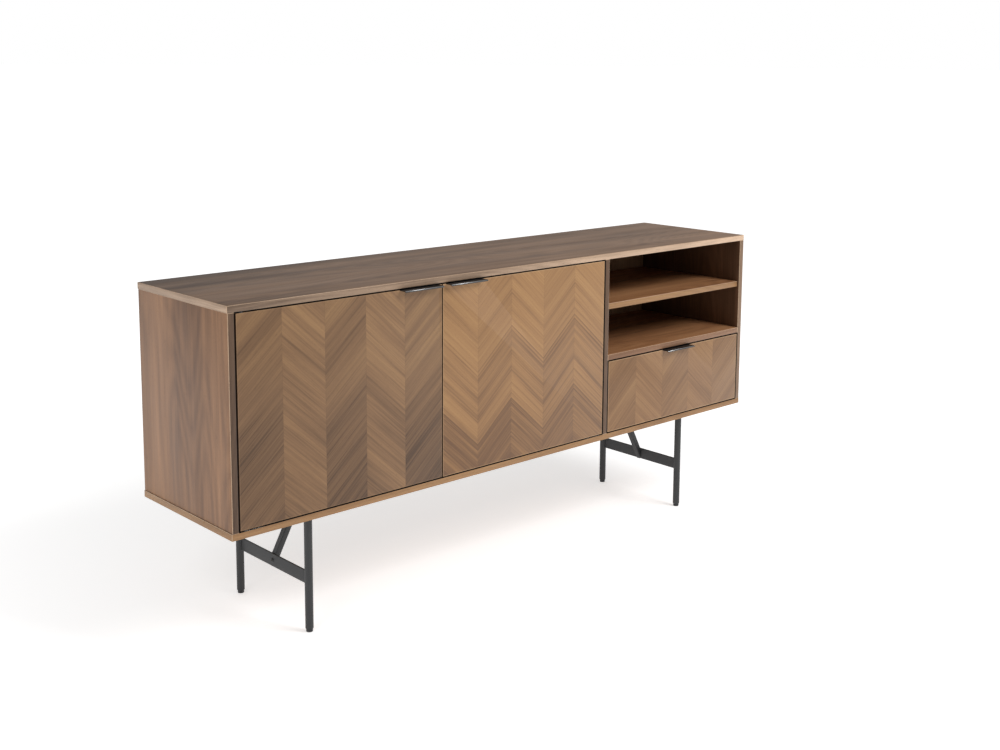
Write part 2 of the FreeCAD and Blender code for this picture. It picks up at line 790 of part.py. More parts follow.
def door_bushes():
    """The two plastic bushes that turn on the hinge pins, flange outwards."""
    barrel, flange = "(bush_length - bore_end_play)", "(door_bottom_gap - pivot_play)"
    master = Piece("bush_master", keep=False)
    master.pad_up([bore("0", "0", "bush_radius")], barrel, f"-{barrel}")
    master.pad_up([bore("0", "0", "bush_flange_radius")], flange)
    master.cut_down([disc("0", "0", "(pivot_radius + pivot_play)")], flange, f"({barrel} + {flange})")
    top = f"({DOOR_Z} + {DOOR_HEIGHT})"
    return group("left_door_bushes", master,
                 [(PIVOT_X, PIVOT_Y, top, UP), (PIVOT_X, PIVOT_Y, DOOR_Z, DOWN)])


def strike_plate():
    """The steel plate that the magnet holds, with its spike in the door's back."""
    piece = Piece("left_strike_plate", STRIKE_X, DOOR_BACK, STRIKE_Z)
    piece.pad_back([rectangle("-strike_width / 2", "-strike_height / 2", "strike_width / 2",
                              "strike_height / 2")], "strike")
    spike = "(short_screw - bore_end_play)"
    piece.pad_back([bore("0", "0", "screw_radius")], spike, f"-{spike}")
    return piece


def doors():
    """Both doors: the right one is the left one's mirror image."""
    left_door()
    pull("left_door_pull", PULL_X, PULL_Z, "door_board")
    pull_screws("left_pull_screws", PULL_X, PULL_Z, "door_board")
    door_bushes()
    strike_plate()
    for item in [node for node in nodes if node.Label.startswith("left_")]:
        name = item.Label
        if name in ("left_side_panel", "left_inner_shelf"):
            continue
        mirrored(name.replace("left_", "right_"), item, RIGHT, x=CUPBOARD_MIDDLE)


def hinge_plates():
    """Plates let into the top and bottom panels, each with a pin that a door turns on."""
    master = Piece("pivot_plate_master", keep=False)
    width = "(pivot_plate_width / 2)"
    plate = rectangle("-pivot_plate_nose", f"-{width}", "(pivot_plate_length - pivot_plate_nose)", width)
    master.pad_up([plate], "pivot_plate", "-pivot_plate")
    master.pad_up([disc("0", "0", "pivot_radius")], "pivot_length")
    countersink(master, "XY_Plane", [(offset, "0") for offset in pivot_screw_offsets()], "0", "pivot_plate")
    lower = group("lower_hinge_plate", master, [(PIVOT_X, PIVOT_Y, FLOOR)])
    nodes.remove(lower)
    middle_z = f"(({FLOOR} + {CEILING}) / 2)"
    upper = mirrored("upper_hinge_plate", lower, UP)
    upper.setExpression(".Base.z", formula(middle_z))
    left = document.addObject("Part::Compound", "left_hinge_plates")
    left.Links = [lower, upper]
    right = mirrored("right_hinge_plates", left, RIGHT, x=CUPBOARD_MIDDLE)
    both_doors = document.addObject("Part::Compound", "hinge_plates")
    both_doors.Label = "hinge_plates"
    both_doors.Links = [left, right]
    for item in (upper, right):
        nodes.remove(item)
    nodes.append(both_doors)


def catches():
    """Magnetic catches on the bottom panel, each held by a screw through its base."""
    y = f"({DOOR_BACK} + strike + catch_play)"
    master = Piece("catch_master", keep=False)
    master.pad_up([rectangle("-catch_width / 2", "0", "catch_width / 2", "catch_depth")], "catch_height")
    head = bore("0", "catch_depth / 2", "(screw_head_radius + bore_play)")
    master.cut_down([head], "catch_height", "(catch_height - catch_base)")
    shank = bore("0", "catch_depth / 2", "(screw_radius + bore_play)")
    master.cut_down([shank], "catch_base", "catch_base")
    group("door_catches", master, [(x, y, FLOOR) for x in catch_places()])
    screw = pan_screw("catch_screw_master", "(short_screw + catch_base - bore_end_play)")
    middle, seat = f"({y} + catch_depth / 2)", f"({FLOOR} + catch_base)"
    group("catch_screws", screw, [(x, middle, seat, UP) for x in catch_places()])


def hinge_screws():
    """Flush screws that hold the hinge plates."""
    master = flat_screw("hinge_screw_master", "(short_screw + pivot_plate - bore_end_play)")
    spots = []
    for x, row in pivot_screw_places():
        y = f"({FRONT} + {row})"
        spots += [(x, y, FLOOR, UP), (x, y, CEILING, DOWN)]
    group("hinge_screws", master, spots)


def runner_member(label, start, depth, half_height):
    """A C-section rail that opens to the right, with lips at its mouth."""
    steel, lip = "runner_steel", "runner_lip"
    mouth = f"({start} + {depth})"
    inner = f"({mouth} - {steel})"
    top, web = half_height, f"({start} + {steel})"
    outline = [
        (start, f"-{top}"), (mouth, f"-{top}"), (mouth, f"({lip} - {top})"),
        (inner, f"({lip} - {top})"), (inner, f"({steel} - {top})"), (web, f"({steel} - {top})"),
        (web, f"({top} - {steel})"), (inner, f"({top} - {steel})"), (inner, f"({top} - {lip})"),
        (mouth, f"({top} - {lip})"), (mouth, top), (start, top),
    ]
    piece = Piece(label, DIVIDER_RIGHT, RUNNER_Y, RUNNER_Z)
    piece.pad_back([outline], "runner_length")
    return piece


MIDDLE_HALF = "(runner_height / 2 - runner_steel - runner_play)"
INNER_HALF = f"({MIDDLE_HALF} - runner_lip - runner_play)"
MIDDLE_START = "(runner_steel + runner_play)"
INNER_START = "(2 * runner_steel + 2 * runner_play)"


def drawer_member():
    """The inner rail: a channel whose web is screwed to the drawer's side."""
    half, steel = INNER_HALF, "runner_steel"
    web = f"(runner_width - {steel})"
    outline = [
        (INNER_START, f"-{half}"), ("runner_width", f"-{half}"), ("runner_width", half),
        (INNER_START, half), (INNER_START, f"({half} - {steel})"), (web, f"({half} - {steel})"),
        (web, f"({steel} - {half})"), (INNER_START, f"({steel} - {half})"),
    ]
    piece = Piece("left_runner_drawer_member", DIVIDER_RIGHT, RUNNER_Y, RUNNER_Z)
    piece.pad_back([outline], "runner_length")
    return piece


def runners():
    """The two three-part runners and their screws."""
    cabinet = runner_member("left_runner_cabinet_member", "0", "runner_depth", "(runner_height / 2)")
    middle_depth = f"(runner_depth - {MIDDLE_START} - runner_steel - runner_play)"
    middle = runner_member("left_runner_middle_member", MIDDLE_START, middle_depth, MIDDLE_HALF)
    inner = drawer_member()
    holes = [(row, "0") for row in runner_rows()]
    countersink(cabinet, "YZ_Plane", holes, "runner_steel", "runner_steel")
    inner.cut_left([bore(*hole, "(screw_radius + bore_play)") for hole in holes], "runner_width",
                   "runner_steel")
    for piece in (cabinet, middle, inner):
        mirrored(piece.body.Label.replace("left_", "right_"), piece.body, RIGHT, x=NICHE_MIDDLE)
    master = flat_screw("runner_screw_master", "(short_screw + runner_steel - bore_end_play)")
    rows = [f"({RUNNER_Y} + {row})" for row in runner_rows()]
    walls = ((f"({DIVIDER_RIGHT} + runner_steel)", RIGHT), (f"({RIGHT_WALL} - runner_steel)", LEFT))
    group("runner_cabinet_screws", master, [(x, y, RUNNER_Z, way) for x, way in walls for y in rows])
    seats = both(f"({DIVIDER_RIGHT} + runner_width - runner_steel)", NICHE_MIDDLE)
    short = pan_screw("drawer_runner_screw_master", "(drawer_board - bore_end_play)")
    spots = [(x, y, RUNNER_Z, way) for x, way in zip(seats, (LEFT, RIGHT)) for y in rows]
    group("runner_drawer_screws", short, spots)


def drawer_front():
    """The drawer's veneered front with its pull's seat."""
    x = f"({DIVIDER_RIGHT} + drawer_side_gap)"
    width = "(niche_width - 2 * drawer_side_gap)"
    z = f"({FLOOR} + drawer_bottom_gap)"
    piece = slab("drawer_front", x, FRONT, z, width, "drawer_front_board", DRAWER_FRONT_HEIGHT)
    piece.fillet("front_round", face_rim)
    pull_seat(piece, f"({DRAWER_PULL_X} - {x})", DRAWER_FRONT_HEIGHT, "drawer_front_board")
    pull_z = f"({DRAWER_PULL_Z} - {z} - pull_flange / 2)"
    spots = [(f"({DRAWER_PULL_X} - {x} + {end})", pull_z) for end in pull_screw_places("pull_length")]
    spots += [(f"({a} - {x})", f"({b} - {z})") for a, b in front_screw_places()]
    holes = [bore(a, b, "(screw_radius + bore_play)") for a, b in spots]
    piece.cut_back(holes, "(drawer_front_board - short_screw)", "short_screw")


def front_screw_places():
    """The x and z of the screws that hold the drawer's front to its box."""
    left = f"({BOX_X} + drawer_screw_from_side)"
    low = f"({BOX_Z} + drawer_floor_lift + drawer_screw_from_edge)"
    high = f"({BOX_Z} + drawer_box_height - drawer_screw_from_edge)"
    return [(x, z) for x in both(left, NICHE_MIDDLE) for z in (low, high)]


def drawer_box():
    """The drawer's four inner boards, in rebates of its sides, and its floor in their grooves."""
    back = "(drawer_box_length - drawer_board)"
    groove_start = "(drawer_board - drawer_groove)"
    low, high = "drawer_floor_lift", "(drawer_floor_lift + drawer_floor + drawer_groove_play)"
    side = slab("drawer_left_side", BOX_X, BOX_Y, BOX_Z, "drawer_board", "drawer_box_length",
                "drawer_box_height")
    rebates = [rectangle(start, "0", f"({start} + drawer_board)", "drawer_box_height")
               for start in ("0", back)]
    side.cut_left(rebates, "drawer_board", "drawer_rebate")
    groove = rectangle(groove_start, low, f"(drawer_box_length - {groove_start})", high)
    side.cut_left([groove], "drawer_board", "drawer_groove")
    screws = [bore(f"(runner_setback + {row})", "drawer_box_height / 2", "(screw_radius + bore_play)")
              for row in runner_rows()]
    side.cut_left(screws, "drawer_board", "drawer_board")
    mirrored("drawer_right_side", side.body, RIGHT, x=NICHE_MIDDLE)
    across_x = f"({BOX_X} + drawer_board - drawer_rebate)"
    across = f"({BOX_WIDTH} - 2 * (drawer_board - drawer_rebate))"
    for label, setback in (("drawer_inner_front", "0"), ("drawer_back", back)):
        board = slab(label, across_x, f"({BOX_Y} + {setback})", BOX_Z, across, "drawer_board",
                     "drawer_box_height")
        start = groove_start if setback == "0" else "0"
        board.cut_back([rectangle("0", low, across, high)], start, "drawer_groove")
        if setback == "0":
            holes = [bore(f"({x} - {across_x})", f"({z} - {BOX_Z})", "(screw_radius + bore_play)")
                     for x, z in front_screw_places()]
            board.cut_back(holes, "0", "drawer_board")
    entry = "(drawer_groove - back_edge_play)"
    inside = f"({BOX_WIDTH} - 2 * drawer_board)"
    slab("drawer_bottom", f"({BOX_X} + drawer_board - {entry})", f"({BOX_Y} + drawer_board - {entry})",
         f"({BOX_Z} + drawer_floor_lift)", f"({inside} + 2 * {entry})",
         f"(drawer_box_length - 2 * drawer_board + 2 * {entry})", "drawer_floor")


def drawer_front_screws():
    """Four screws from inside the box into the drawer's front."""
    screw = pan_screw("front_screw_master", "(drawer_board + short_screw - bore_end_play)")
    y = f"({BOX_Y} + drawer_board)"
    group("drawer_front_screws", screw, [(x, y, z, BACKWARD) for x, z in front_screw_places()])


def legs():
    """Four round rods with chamfered feet, and the plastic glides that they stand on."""
    shoulder = "(rod_radius - rod_chamfer)"
    outline = [
        ("0", "glide_height"), (shoulder, "glide_height"), ("rod_radius", "(glide_height + rod_chamfer)"),
        ("rod_radius", PLATE_Z), ("0", PLATE_Z),
    ]
    leg = Piece("front_left_leg", LEG_X, LEG_Y, "0")
    leg.revolve(outline)
    stem = "(glide_stem + bore_end_play)"
    leg.cut_down([bore("0", "0", "(glide_stem_radius + bore_play)")], f"(glide_height + {stem})", stem)
    rear = mirrored("rear_left_leg", leg.body, BACKWARD, y=DEPTH_MIDDLE)
    mirrored("front_right_leg", leg.body, RIGHT)
    mirrored("rear_right_leg", rear, RIGHT)
    glide = Piece("glide_master", keep=False)
    glide.pad_up([disc("0", "0", "glide_radius")], "glide_height")
    glide.pad_up([bore("0", "0", "glide_stem_radius")], "glide_stem", "glide_height")
    group("foot_glides", glide, [(x, y, "0") for x, y in leg_places()])


def crossbars():
    """The flat bars between the legs, coped round the tubes."""
    half = "(bar_board / 2)"
    span = "(carcass_depth - leg_from_front - leg_from_back)"
    bar = Piece("left_crossbar", LEG_X, LEG_Y, "bar_lift")
    bar.pad_up([rectangle(f"-{half}", "0", half, span)], "bar_height")
    bar.cut_down([disc("0", "0", "rod_radius"), disc("0", span, "rod_radius")],
                 "bar_height", "bar_height")
    hole = bore(f"({span} / 2)", "bar_height / 2", "(strut_bolt_radius + bore_play)")
    bar.cut_left([hole], half, "bar_board")
    mirrored("right_crossbar", bar.body, RIGHT)


def strut_outline(section, start):
    """A leaning tube's side view, cut upright at its foot and level at its head."""
    rise = f"({section} / (2 * sin(strut_lean_angle)))"
    reach = f"({section} / (2 * cos(strut_lean_angle)))"
    foot = f"({start} / tan(strut_lean_angle))"
    head = f"({STRUT_RISE} * tan(strut_lean_angle))"
    return [
        (start, f"({foot} - {rise})"), (f"({head} + {reach})", STRUT_RISE),
        (f"({head} - {reach})", STRUT_RISE), (start, f"({foot} + {rise})"),
    ]


def struts():
    """Square tubes from the crossbars up to the bottom panel, their plates and their bolts."""
    strut = Piece("left_strut", BAR_FACE, DEPTH_MIDDLE, BAR_MIDDLE)
    strut.pad_back([strut_outline("strut_section", "0")], "strut_section", "-strut_section / 2")
    inner = "(strut_section - 2 * strut_wall)"
    strut.cut_back([strut_outline(inner, "strut_plug")], f"-{inner} / 2", inner)
    depth = "(strut_bolt_length - bar_board + bore_end_play)"
    strut.cut_left([bore("0", "0", "(strut_bolt_radius + bore_play)")], depth, depth)
    mirrored("right_strut", strut.body, RIGHT)
    bolt = Piece("strut_bolt_master", keep=False)
    bolt.pad_up([disc("0", "0", "strut_bolt_head_radius")], "strut_bolt_head")
    bolt.chamfer("strut_bolt_head_chamfer", lambda edge, box: near(edge.BoundBox.ZMin, box.ZMax))
    bolt.pad_up([bore("0", "0", "strut_bolt_radius")], "strut_bolt_length", "-strut_bolt_length")
    outside = both(f"({LEG_X} - bar_board / 2)", "0")
    group("strut_bolts", bolt, [(x, DEPTH_MIDDLE, BAR_MIDDLE, way)
                                for x, way in zip(outside, (LEFT, RIGHT))])


def screwed_plate(label, length, width, spacing):
    """A plate under the bottom panel with two countersunk holes."""
    plate = Piece(label, keep=False)
    plate.pad_up([rectangle(f"-{length} / 2", f"-{width} / 2", f"{length} / 2", f"{width} / 2")],
                 "leg_plate")
    def corner(edge, box):
        ends = edge.Vertexes
        return near(ends[0].X, ends[-1].X) and near(ends[0].Y, ends[-1].Y)
    plate.chamfer("leg_plate_bevel", corner)
    holes = [bore(f"({sign}{spacing} / 2)", "0", "(leg_screw_radius + bore_play)") for sign in ("-", "")]
    plate.cut_down(holes, "leg_plate", "leg_plate")
    return plate


def foot_screw_places():
    """The place of each screw of the legs' and struts' plates: x, y, z and way."""
    spots = []
    for x, y in leg_places():
        for sign in "-+":
            spots.append((f"({x} {sign} leg_plate_screw_spacing / 2)", y, PLATE_Z, DOWN))
    for x in both(STRUT_TOP_X, "0"):
        for sign in "-+":
            spots.append((f"({x} {sign} strut_plate_screw_spacing / 2)", DEPTH_MIDDLE, PLATE_Z, DOWN))
    return spots


def plates():
    """The plates that hold the leg frames to the bottom panel, with their screws."""
    leg = screwed_plate("leg_plate_master", "leg_plate_length", "leg_plate_width",
                        "leg_plate_screw_spacing")
    group("leg_plates", leg, [(x, y, PLATE_Z) for x, y in leg_places()])
    strut = screwed_plate("strut_plate_master", "strut_plate_length", "strut_plate_width",
                          "strut_plate_screw_spacing")
    group("strut_plates", strut, [(x, DEPTH_MIDDLE, PLATE_Z) for x in both(STRUT_TOP_X, "0")])
    screw = Piece("leg_screw_master", keep=False)
    screw.pad_up([bore("0", "0", "leg_screw_head_radius")], "leg_screw_head")
    screw.pad_up([bore("0", "0", "leg_screw_radius")], "leg_screw_length", "-leg_screw_length")
    group("leg_screws", screw, foot_screw_places())


def check():
    """Stops if an object failed or a sub-part is not a set of sound solids."""
    for item in document.Objects:
        if {"Invalid", "Error"} & set(item.State):
            raise ValueError(f"{item.Label} failed: {item.State}")
    for node in nodes:
        shape = node.Shape
        if shape.isNull() or not shape.isValid() or not shape.Solids:
            raise ValueError(f"{node.Label} is not a sound solid")


def write():
    """Writes each sub-part to its own file."""
    os.makedirs(PARTS_FOLDER, exist_ok=True)
    for node in nodes:
        node.Shape.exportStep(os.path.join(PARTS_FOLDER, f"{node.Label}.step"))
    print(len(nodes), "sub-parts written")


def main():
    """Builds the whole sideboard."""
    fill_sheet()
    long_panel("top_panel", CEILING, upper=True)
    bottom_panel()
    uprights()
    rail()
    shelves()
    back_panel()
    dowels()
    shelf_pins()
    doors()
    hinge_plates()
    hinge_screws()
    catches()
    drawer_front()
    pull("drawer_pull", DRAWER_PULL_X, DRAWER_PULL_Z, "drawer_front_board")
    pull_screws("drawer_pull_screws", DRAWER_PULL_X, DRAWER_PULL_Z, "drawer_front_board")
    drawer_box()
    drawer_front_screws()
    runners()
    legs()
    crossbars()
    struts()
    plates()
    document.recompute()
    check()
    write()


main()
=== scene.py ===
import logging
import math
from dataclasses import dataclass
from enum import Enum, IntEnum
from typing import Callable, Iterable, Optional, Sequence, Union

import bpy
from mathutils import Matrix, Vector


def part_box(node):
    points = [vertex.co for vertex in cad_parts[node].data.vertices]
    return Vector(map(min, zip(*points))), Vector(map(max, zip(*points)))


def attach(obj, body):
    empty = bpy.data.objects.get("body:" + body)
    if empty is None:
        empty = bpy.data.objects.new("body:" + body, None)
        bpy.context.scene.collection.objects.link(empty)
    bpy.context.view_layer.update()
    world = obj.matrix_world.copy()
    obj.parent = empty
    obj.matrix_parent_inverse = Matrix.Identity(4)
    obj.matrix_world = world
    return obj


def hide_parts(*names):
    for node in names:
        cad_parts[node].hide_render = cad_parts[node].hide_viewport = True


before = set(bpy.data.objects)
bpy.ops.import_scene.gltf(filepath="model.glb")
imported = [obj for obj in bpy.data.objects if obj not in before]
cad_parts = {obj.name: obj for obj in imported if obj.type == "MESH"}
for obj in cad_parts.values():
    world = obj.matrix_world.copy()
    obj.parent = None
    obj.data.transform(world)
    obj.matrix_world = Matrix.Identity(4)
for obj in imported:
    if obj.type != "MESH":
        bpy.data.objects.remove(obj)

LOG = logging.getLogger("sideboard")
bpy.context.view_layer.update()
LEGS = ("front_left_leg", "rear_left_leg", "front_right_leg", "rear_right_leg")
UP, DOWN, BACK = (0, 0, 1), (0, 0, -1), (0, 1, 0)
TINY = 1e-5
SQUARE = 0.98  # the least part of a normal along an axis that a flat face has

Material = bpy.types.Material
Face = bpy.types.MeshPolygon
Pair = tuple[float, float]
Point = tuple[float, float, float]
Colour = tuple[float, float, float, float]
Test = Callable[[Vector, Vector], bool]


def shade(red: int, green: int, blue: int) -> Colour:
    """A screen colour from 0 to 255 as the linear colour that a shader takes.

    Args:
        red: red part.
        green: green part.
        blue: blue part.

    Returns:
        Linear red, green and blue, and an alpha of 1.
    """
    parts = [c / 255 for c in (red, green, blue)]
    linear = [c / 12.92 if c <= 0.04045 else ((c + 0.055) / 1.055) ** 2.4 for c in parts]
    return (linear[0], linear[1], linear[2], 1.0)


class Grain(Enum):
    """The direction that a veneer's grain runs in."""

    X = 0
    Y = 1
    Z = 2

    def order(self, *axes: "Signal") -> tuple["Signal", ...]:
        """Three axes, from this one on."""
        return (axes * 2)[self.value:self.value + 3]


class Slant(Enum):
    """Which way the grain of a front's first strip rises."""

    RIGHT = 0
    LEFT = 1


class Cover(IntEnum):
    """The material slots of a board: three grains of faces, three of edges, and the rest: a
    painted highlight, painted shade in the gaps, the large faces and painted shade in the niche.
    """

    EDGE = 3
    ARRIS = 6
    GAP_PAINTED_SHADE = 7
    LARGE = 8
    NICHE_PAINTED_SHADE = 9


# Shader maths


class Signal:
    """One socket of a node tree, with arithmetic that adds Math nodes."""

    def __init__(self, sheet: "NodeSheet", socket: Optional[bpy.types.NodeSocket]) -> None:
        """Keeps a socket and the sheet that its node is on."""
        self.sheet, self.socket = sheet, socket

    def __add__(self, other: "Term") -> "Signal":
        """The sum."""
        return self.sheet.math("ADD", self, other)

    def __sub__(self, other: "Term") -> "Signal":
        """The difference."""
        return self.sheet.math("SUBTRACT", self, other)

    def __rsub__(self, other: float) -> "Signal":
        """The difference, with the number first."""
        return self.sheet.math("SUBTRACT", other, self)

    def __mul__(self, other: "Term") -> "Signal":
        """The product."""
        return self.sheet.math("MULTIPLY", self, other)

    def __truediv__(self, other: "Term") -> "Signal":
        """The quotient."""
        return self.sheet.math("DIVIDE", self, other)

    __radd__ = __add__
    __rmul__ = __mul__

    def sine(self) -> "Signal":
        """The sine of an angle in radians."""
        return self.sheet.math("SINE", self)

    def whole(self) -> "Signal":
        """The whole number below."""
        return self.sheet.math("FLOOR", self)

    def fold(self, width: float) -> "Signal":
        """A zigzag that rises over a width and falls over the next."""
        return self.sheet.math("PINGPONG", self, width)

    def wrap(self, width: float) -> "Signal":
        """What is left over a whole number of widths."""
        return self.sheet.math("FLOORED_MODULO", self, width)

    def least(self, other: "Term") -> "Signal":
        """The smaller of two values."""
        return self.sheet.math("MINIMUM", self, other)

    def rise(self, low: float, high: float) -> "Signal":
        """Goes smoothly from 0 at low to 1 at high; high may be the smaller one."""
        return self.sheet.node("ShaderNodeMapRange", {"interpolation_type": "SMOOTHSTEP"},
                               {"Value": self, "From Min": low, "From Max": high})


Term = Union[Signal, float]
Paint = Union[Signal, Colour]


class NodeSheet:
    """The node tree of a material or of the surroundings."""

    def __init__(self, owner: Union[Material, bpy.types.World]) -> None:
        """Starts an empty node tree.

        Args:
            owner: the material or the surroundings.
        """
        owner.use_nodes = True
        self.owner, self.tree = owner, owner.node_tree
        self.tree.nodes.clear()

    def node(self, kind: str, settings: Optional[dict] = None, sockets: Optional[dict] = None,
             output: Union[int, str] = 0) -> Signal:
        """Adds a node.

        Args:
            kind: the node's type.
            settings: its settings, set first; "stops" holds a ramp's places and colours.
            sockets: values or links of its sockets, by name or number.
            output: the output that is wanted.

        Returns:
            The wanted output, empty for a node that has none.
        """
        node = self.tree.nodes.new(kind)
        for key, value in (settings or {}).items():
            if key == "stops":
                elements = node.color_ramp.elements
                for _ in value[len(elements):]:
                    elements.new(1.0)
                for element, (place, colour) in zip(elements, value):
                    element.position, element.color = place, colour
            else:
                setattr(node, key, value)
        for key, value in (sockets or {}).items():
            if isinstance(value, Signal):
                self.tree.links.new(value.socket, node.inputs[key])
            else:
                node.inputs[key].default_value = value
        return Signal(self, node.outputs[output] if node.outputs else None)

    def math(self, operation: str, *terms: Term) -> Signal:
        """One Math node on its terms."""
        return self.node("ShaderNodeMath", {"operation": operation}, dict(enumerate(terms)))

    def place(self) -> Signal:
        """The place on the object, in metres."""
        return self.node("ShaderNodeTexCoord", output="Object")

    def axes(self) -> tuple[Signal, ...]:
        """The three coordinates of the place on the object."""
        split = self.node("ShaderNodeSeparateXYZ", sockets={0: self.place()}).socket.node
        return tuple(Signal(self, socket) for socket in split.outputs)

    def noise(self, place: Union[Signal, tuple[Term, ...]], detail: float = 2.0,
              roughness: float = 0.5, distortion: float = 0.0, scale: float = 1.0) -> Signal:
        """Soft noise from 0 to 1, about 0.5.

        Args:
            place: where it is read, as a vector or as its three parts.
            detail: octaves.
            roughness: how strong the finer octaves are.
            distortion: how far it is warped.
            scale: features per unit.

        Returns:
            The noise.
        """
        if isinstance(place, tuple):
            place = self.node("ShaderNodeCombineXYZ", sockets=dict(enumerate(place)))
        return self.node("ShaderNodeTexNoise", {"noise_dimensions": "3D"},
                         {"Vector": place, "Scale": scale, "Detail": detail,
                          "Roughness": roughness, "Distortion": distortion}, "Fac")

    def mix(self, factor: Term, first: Paint, second: Paint) -> Signal:
        """A colour between two, where a factor of 0 gives the first and 1 the second."""
        return self.node("ShaderNodeMix", {"data_type": "RGBA"},
                         {0: factor, 6: first, 7: second}, 2)

    def ramp(self, value: Signal, *stops: tuple[float, Colour]) -> Signal:
        """The colour that a value picks from a ramp."""
        return self.node("ShaderNodeValToRGB", {"stops": stops}, {0: value})

    def bump(self, height: Signal, strength: float, distance: float) -> Signal:
        """A normal bent by a height, of which 1 is a distance in metres."""
        return self.node("ShaderNodeBump", sockets={"Strength": strength, "Distance": distance,
                                                    "Height": height})

    def finish(self, colour: Paint, **sockets: object) -> Material:
        """Ends the tree in a surface.

        Args:
            colour: the base colour.
            sockets: the shader's other sockets, with _ for a space.

        Returns:
            The material.
        """
        inputs = {name.replace("_", " "): value for name, value in sockets.items()}
        surface = self.node("ShaderNodeBsdfPrincipled", sockets={"Base Color": colour, **inputs})
        self.node("ShaderNodeOutputMaterial", sockets={"Surface": surface})
        return self.owner

    def lacquer(self, colour: Signal, roughness: Signal, relief: Signal) -> Material:
        """Ends the tree in veneer under a thin satin lacquer.

        Args:
            colour: the veneer's colour.
            roughness: the roughness of its surface.
            relief: the height of its fibres and pores.

        Returns:
            The material.
        """
        return self.finish(colour, Roughness=roughness, Coat_Weight=0.06, Coat_Roughness=0.3,
                           IOR=1.46, Specular_IOR_Level=0.3,
                           Normal=self.bump(relief, 0.25, 0.0002))


# Finishes


@dataclass(frozen=True)
class WoodTones:
    """Three colours of a wood, and the colour of its pores."""

    dark: Colour
    middle: Colour
    light: Colour
    pore: Colour


def tones(*colours: tuple[int, int, int]) -> WoodTones:
    """The tones of a wood, from four screen colours."""
    return WoodTones(*(shade(*colour) for colour in colours))


WALNUT = tones((92, 69, 52), (134, 101, 75), (162, 126, 95), (66, 46, 34))
TOP_WALNUT = tones((98, 74, 56), (145, 113, 88), (176, 140, 112), (76, 54, 40))
TOP_EDGE = tones((106, 86, 70), (162, 136, 113), (210, 180, 153), (84, 66, 52))
SIDE_WALNUT = tones((90, 63, 46), (128, 93, 66), (157, 116, 83), (62, 42, 30))
RAIL_EDGE = tones((92, 66, 50), (130, 96, 72), (156, 118, 90), (70, 48, 36))
WALNUT_EDGE = tones((114, 83, 56), (150, 113, 77), (177, 138, 97), (90, 64, 44))
# The left door's tones are darker and the right door's lighter, partly their own tones and partly
# painted shade and light, for more light falling on the right
LEFT_DOOR_WALNUT = tones((79, 58, 42), (128, 97, 69), (158, 123, 85), (66, 46, 33))
RIGHT_DOOR_WALNUT = tones((112, 83, 61), (157, 119, 81), (180, 141, 96), (88, 62, 44))
DRAWER_WALNUT = tones((96, 72, 54), (138, 104, 74), (164, 128, 90), (78, 55, 40))
POST_EDGE = tones((66, 48, 36), (101, 78, 60), (138, 113, 92), (50, 36, 28))
# painted shade: dark brown for the fronts' edges, seen in the narrow gaps
DOOR_EDGE_SHADE_TONES = tones((44, 31, 22), (62, 45, 33), (80, 60, 45), (30, 20, 14))
# painted shade: near black for the board faces that line the gaps behind the fronts
GAP_SHADE_TONES = tones((10, 7, 5), (18, 12, 9), (28, 20, 14), (8, 5, 3))
# painted shade: darker walnut for the walls and undersides inside the open niche
NICHE_SHADE_WALNUT = tones((54, 36, 24), (84, 58, 40), (108, 76, 54), (38, 25, 17))
# painted light: brighter walnut for the lit tops of the niche shelf and the drawer's rail
LIT_SHELF_WALNUT = tones((132, 87, 57), (182, 128, 87), (214, 159, 112), (92, 60, 40))
# painted highlight: pale walnut for the rounded arrises that face the light
ARRIS_HIGHLIGHT_WALNUT = tones((160, 130, 104), (190, 161, 133), (208, 182, 156), (126, 98, 76))
PALE_BIRCH = tones((178, 148, 112), (205, 178, 142), (222, 199, 166), (150, 118, 84))
BEECH = tones((186, 146, 108), (206, 169, 131), (220, 188, 152), (150, 106, 72))
# painted highlight: the pale rim along the edges of the chevron fronts
PAINTED_EDGE_HIGHLIGHT = shade(198, 164, 128)
SPECK = shade(120, 120, 122)


@dataclass(frozen=True)
class Finish:
    """A named finish that makes a material."""

    name: str

    def sheet(self) -> NodeSheet:
        """The empty node tree of its material."""
        return NodeSheet(bpy.data.materials.new(self.name))


@dataclass(frozen=True)
class StraightVeneer(Finish):
    """Veneer whose grain runs along one axis, with growth rings, streaks and pores."""

    grain: Grain
    tones: WoodTones
    contrast: float = 1.0
    roughness: float = 0.46
    # painted light: how much lighter the tone grows towards the right, for each metre
    painted_light_slope: float = 0.0

    def build(self) -> Material:
        """Makes the material, with painted light that makes it lighter towards the right.

        Returns:
            The material.
        """
        sheet, tones = self.sheet(), self.tones
        x, y, z = sheet.axes()
        along, across, deep = self.grain.order(x, y, z)

        def streak(stretch: float, fine: float, *look: float) -> Signal:
            """Noise drawn out along the grain."""
            return sheet.noise((along * stretch, across * fine, deep * fine), *look)
        broad = streak(0.9, 8, 2.0, 0.5, 0.3)
        growth = sheet.noise((along * 0.7 + 7.3, across * 5, deep * 5), 1.5, 0.45)
        rings = (growth * 260).sine() * 0.5 + 0.5
        fibres = streak(9, 420, 3.0, 0.6)
        gloss = streak(3, 20)
        # painted light: the term in x lightens the tone towards the right
        tone = (0.5 + (broad - 0.5) * (1.15 * self.contrast)
                + (streak(1.6, 42, 4.0, 0.6) - 0.5) * (0.8 * self.contrast)
                + (fibres - 0.5) * 0.34 - (rings - 0.5) * (0.13 * self.contrast) + x * self.painted_light_slope)
        colour = sheet.ramp(tone, (0.16, tones.dark), (0.5, tones.middle), (0.86, tones.light))
        holes = streak(90, 1500, 1.0).rise(0.63, 0.74)
        return sheet.lacquer(sheet.mix(holes * 0.45, colour, tones.pore),
                             self.roughness + (gloss - 0.5) * 0.16 + (fibres - 0.5) * 0.1,
                             fibres * 0.5 - holes * 0.5 + rings * 0.1)


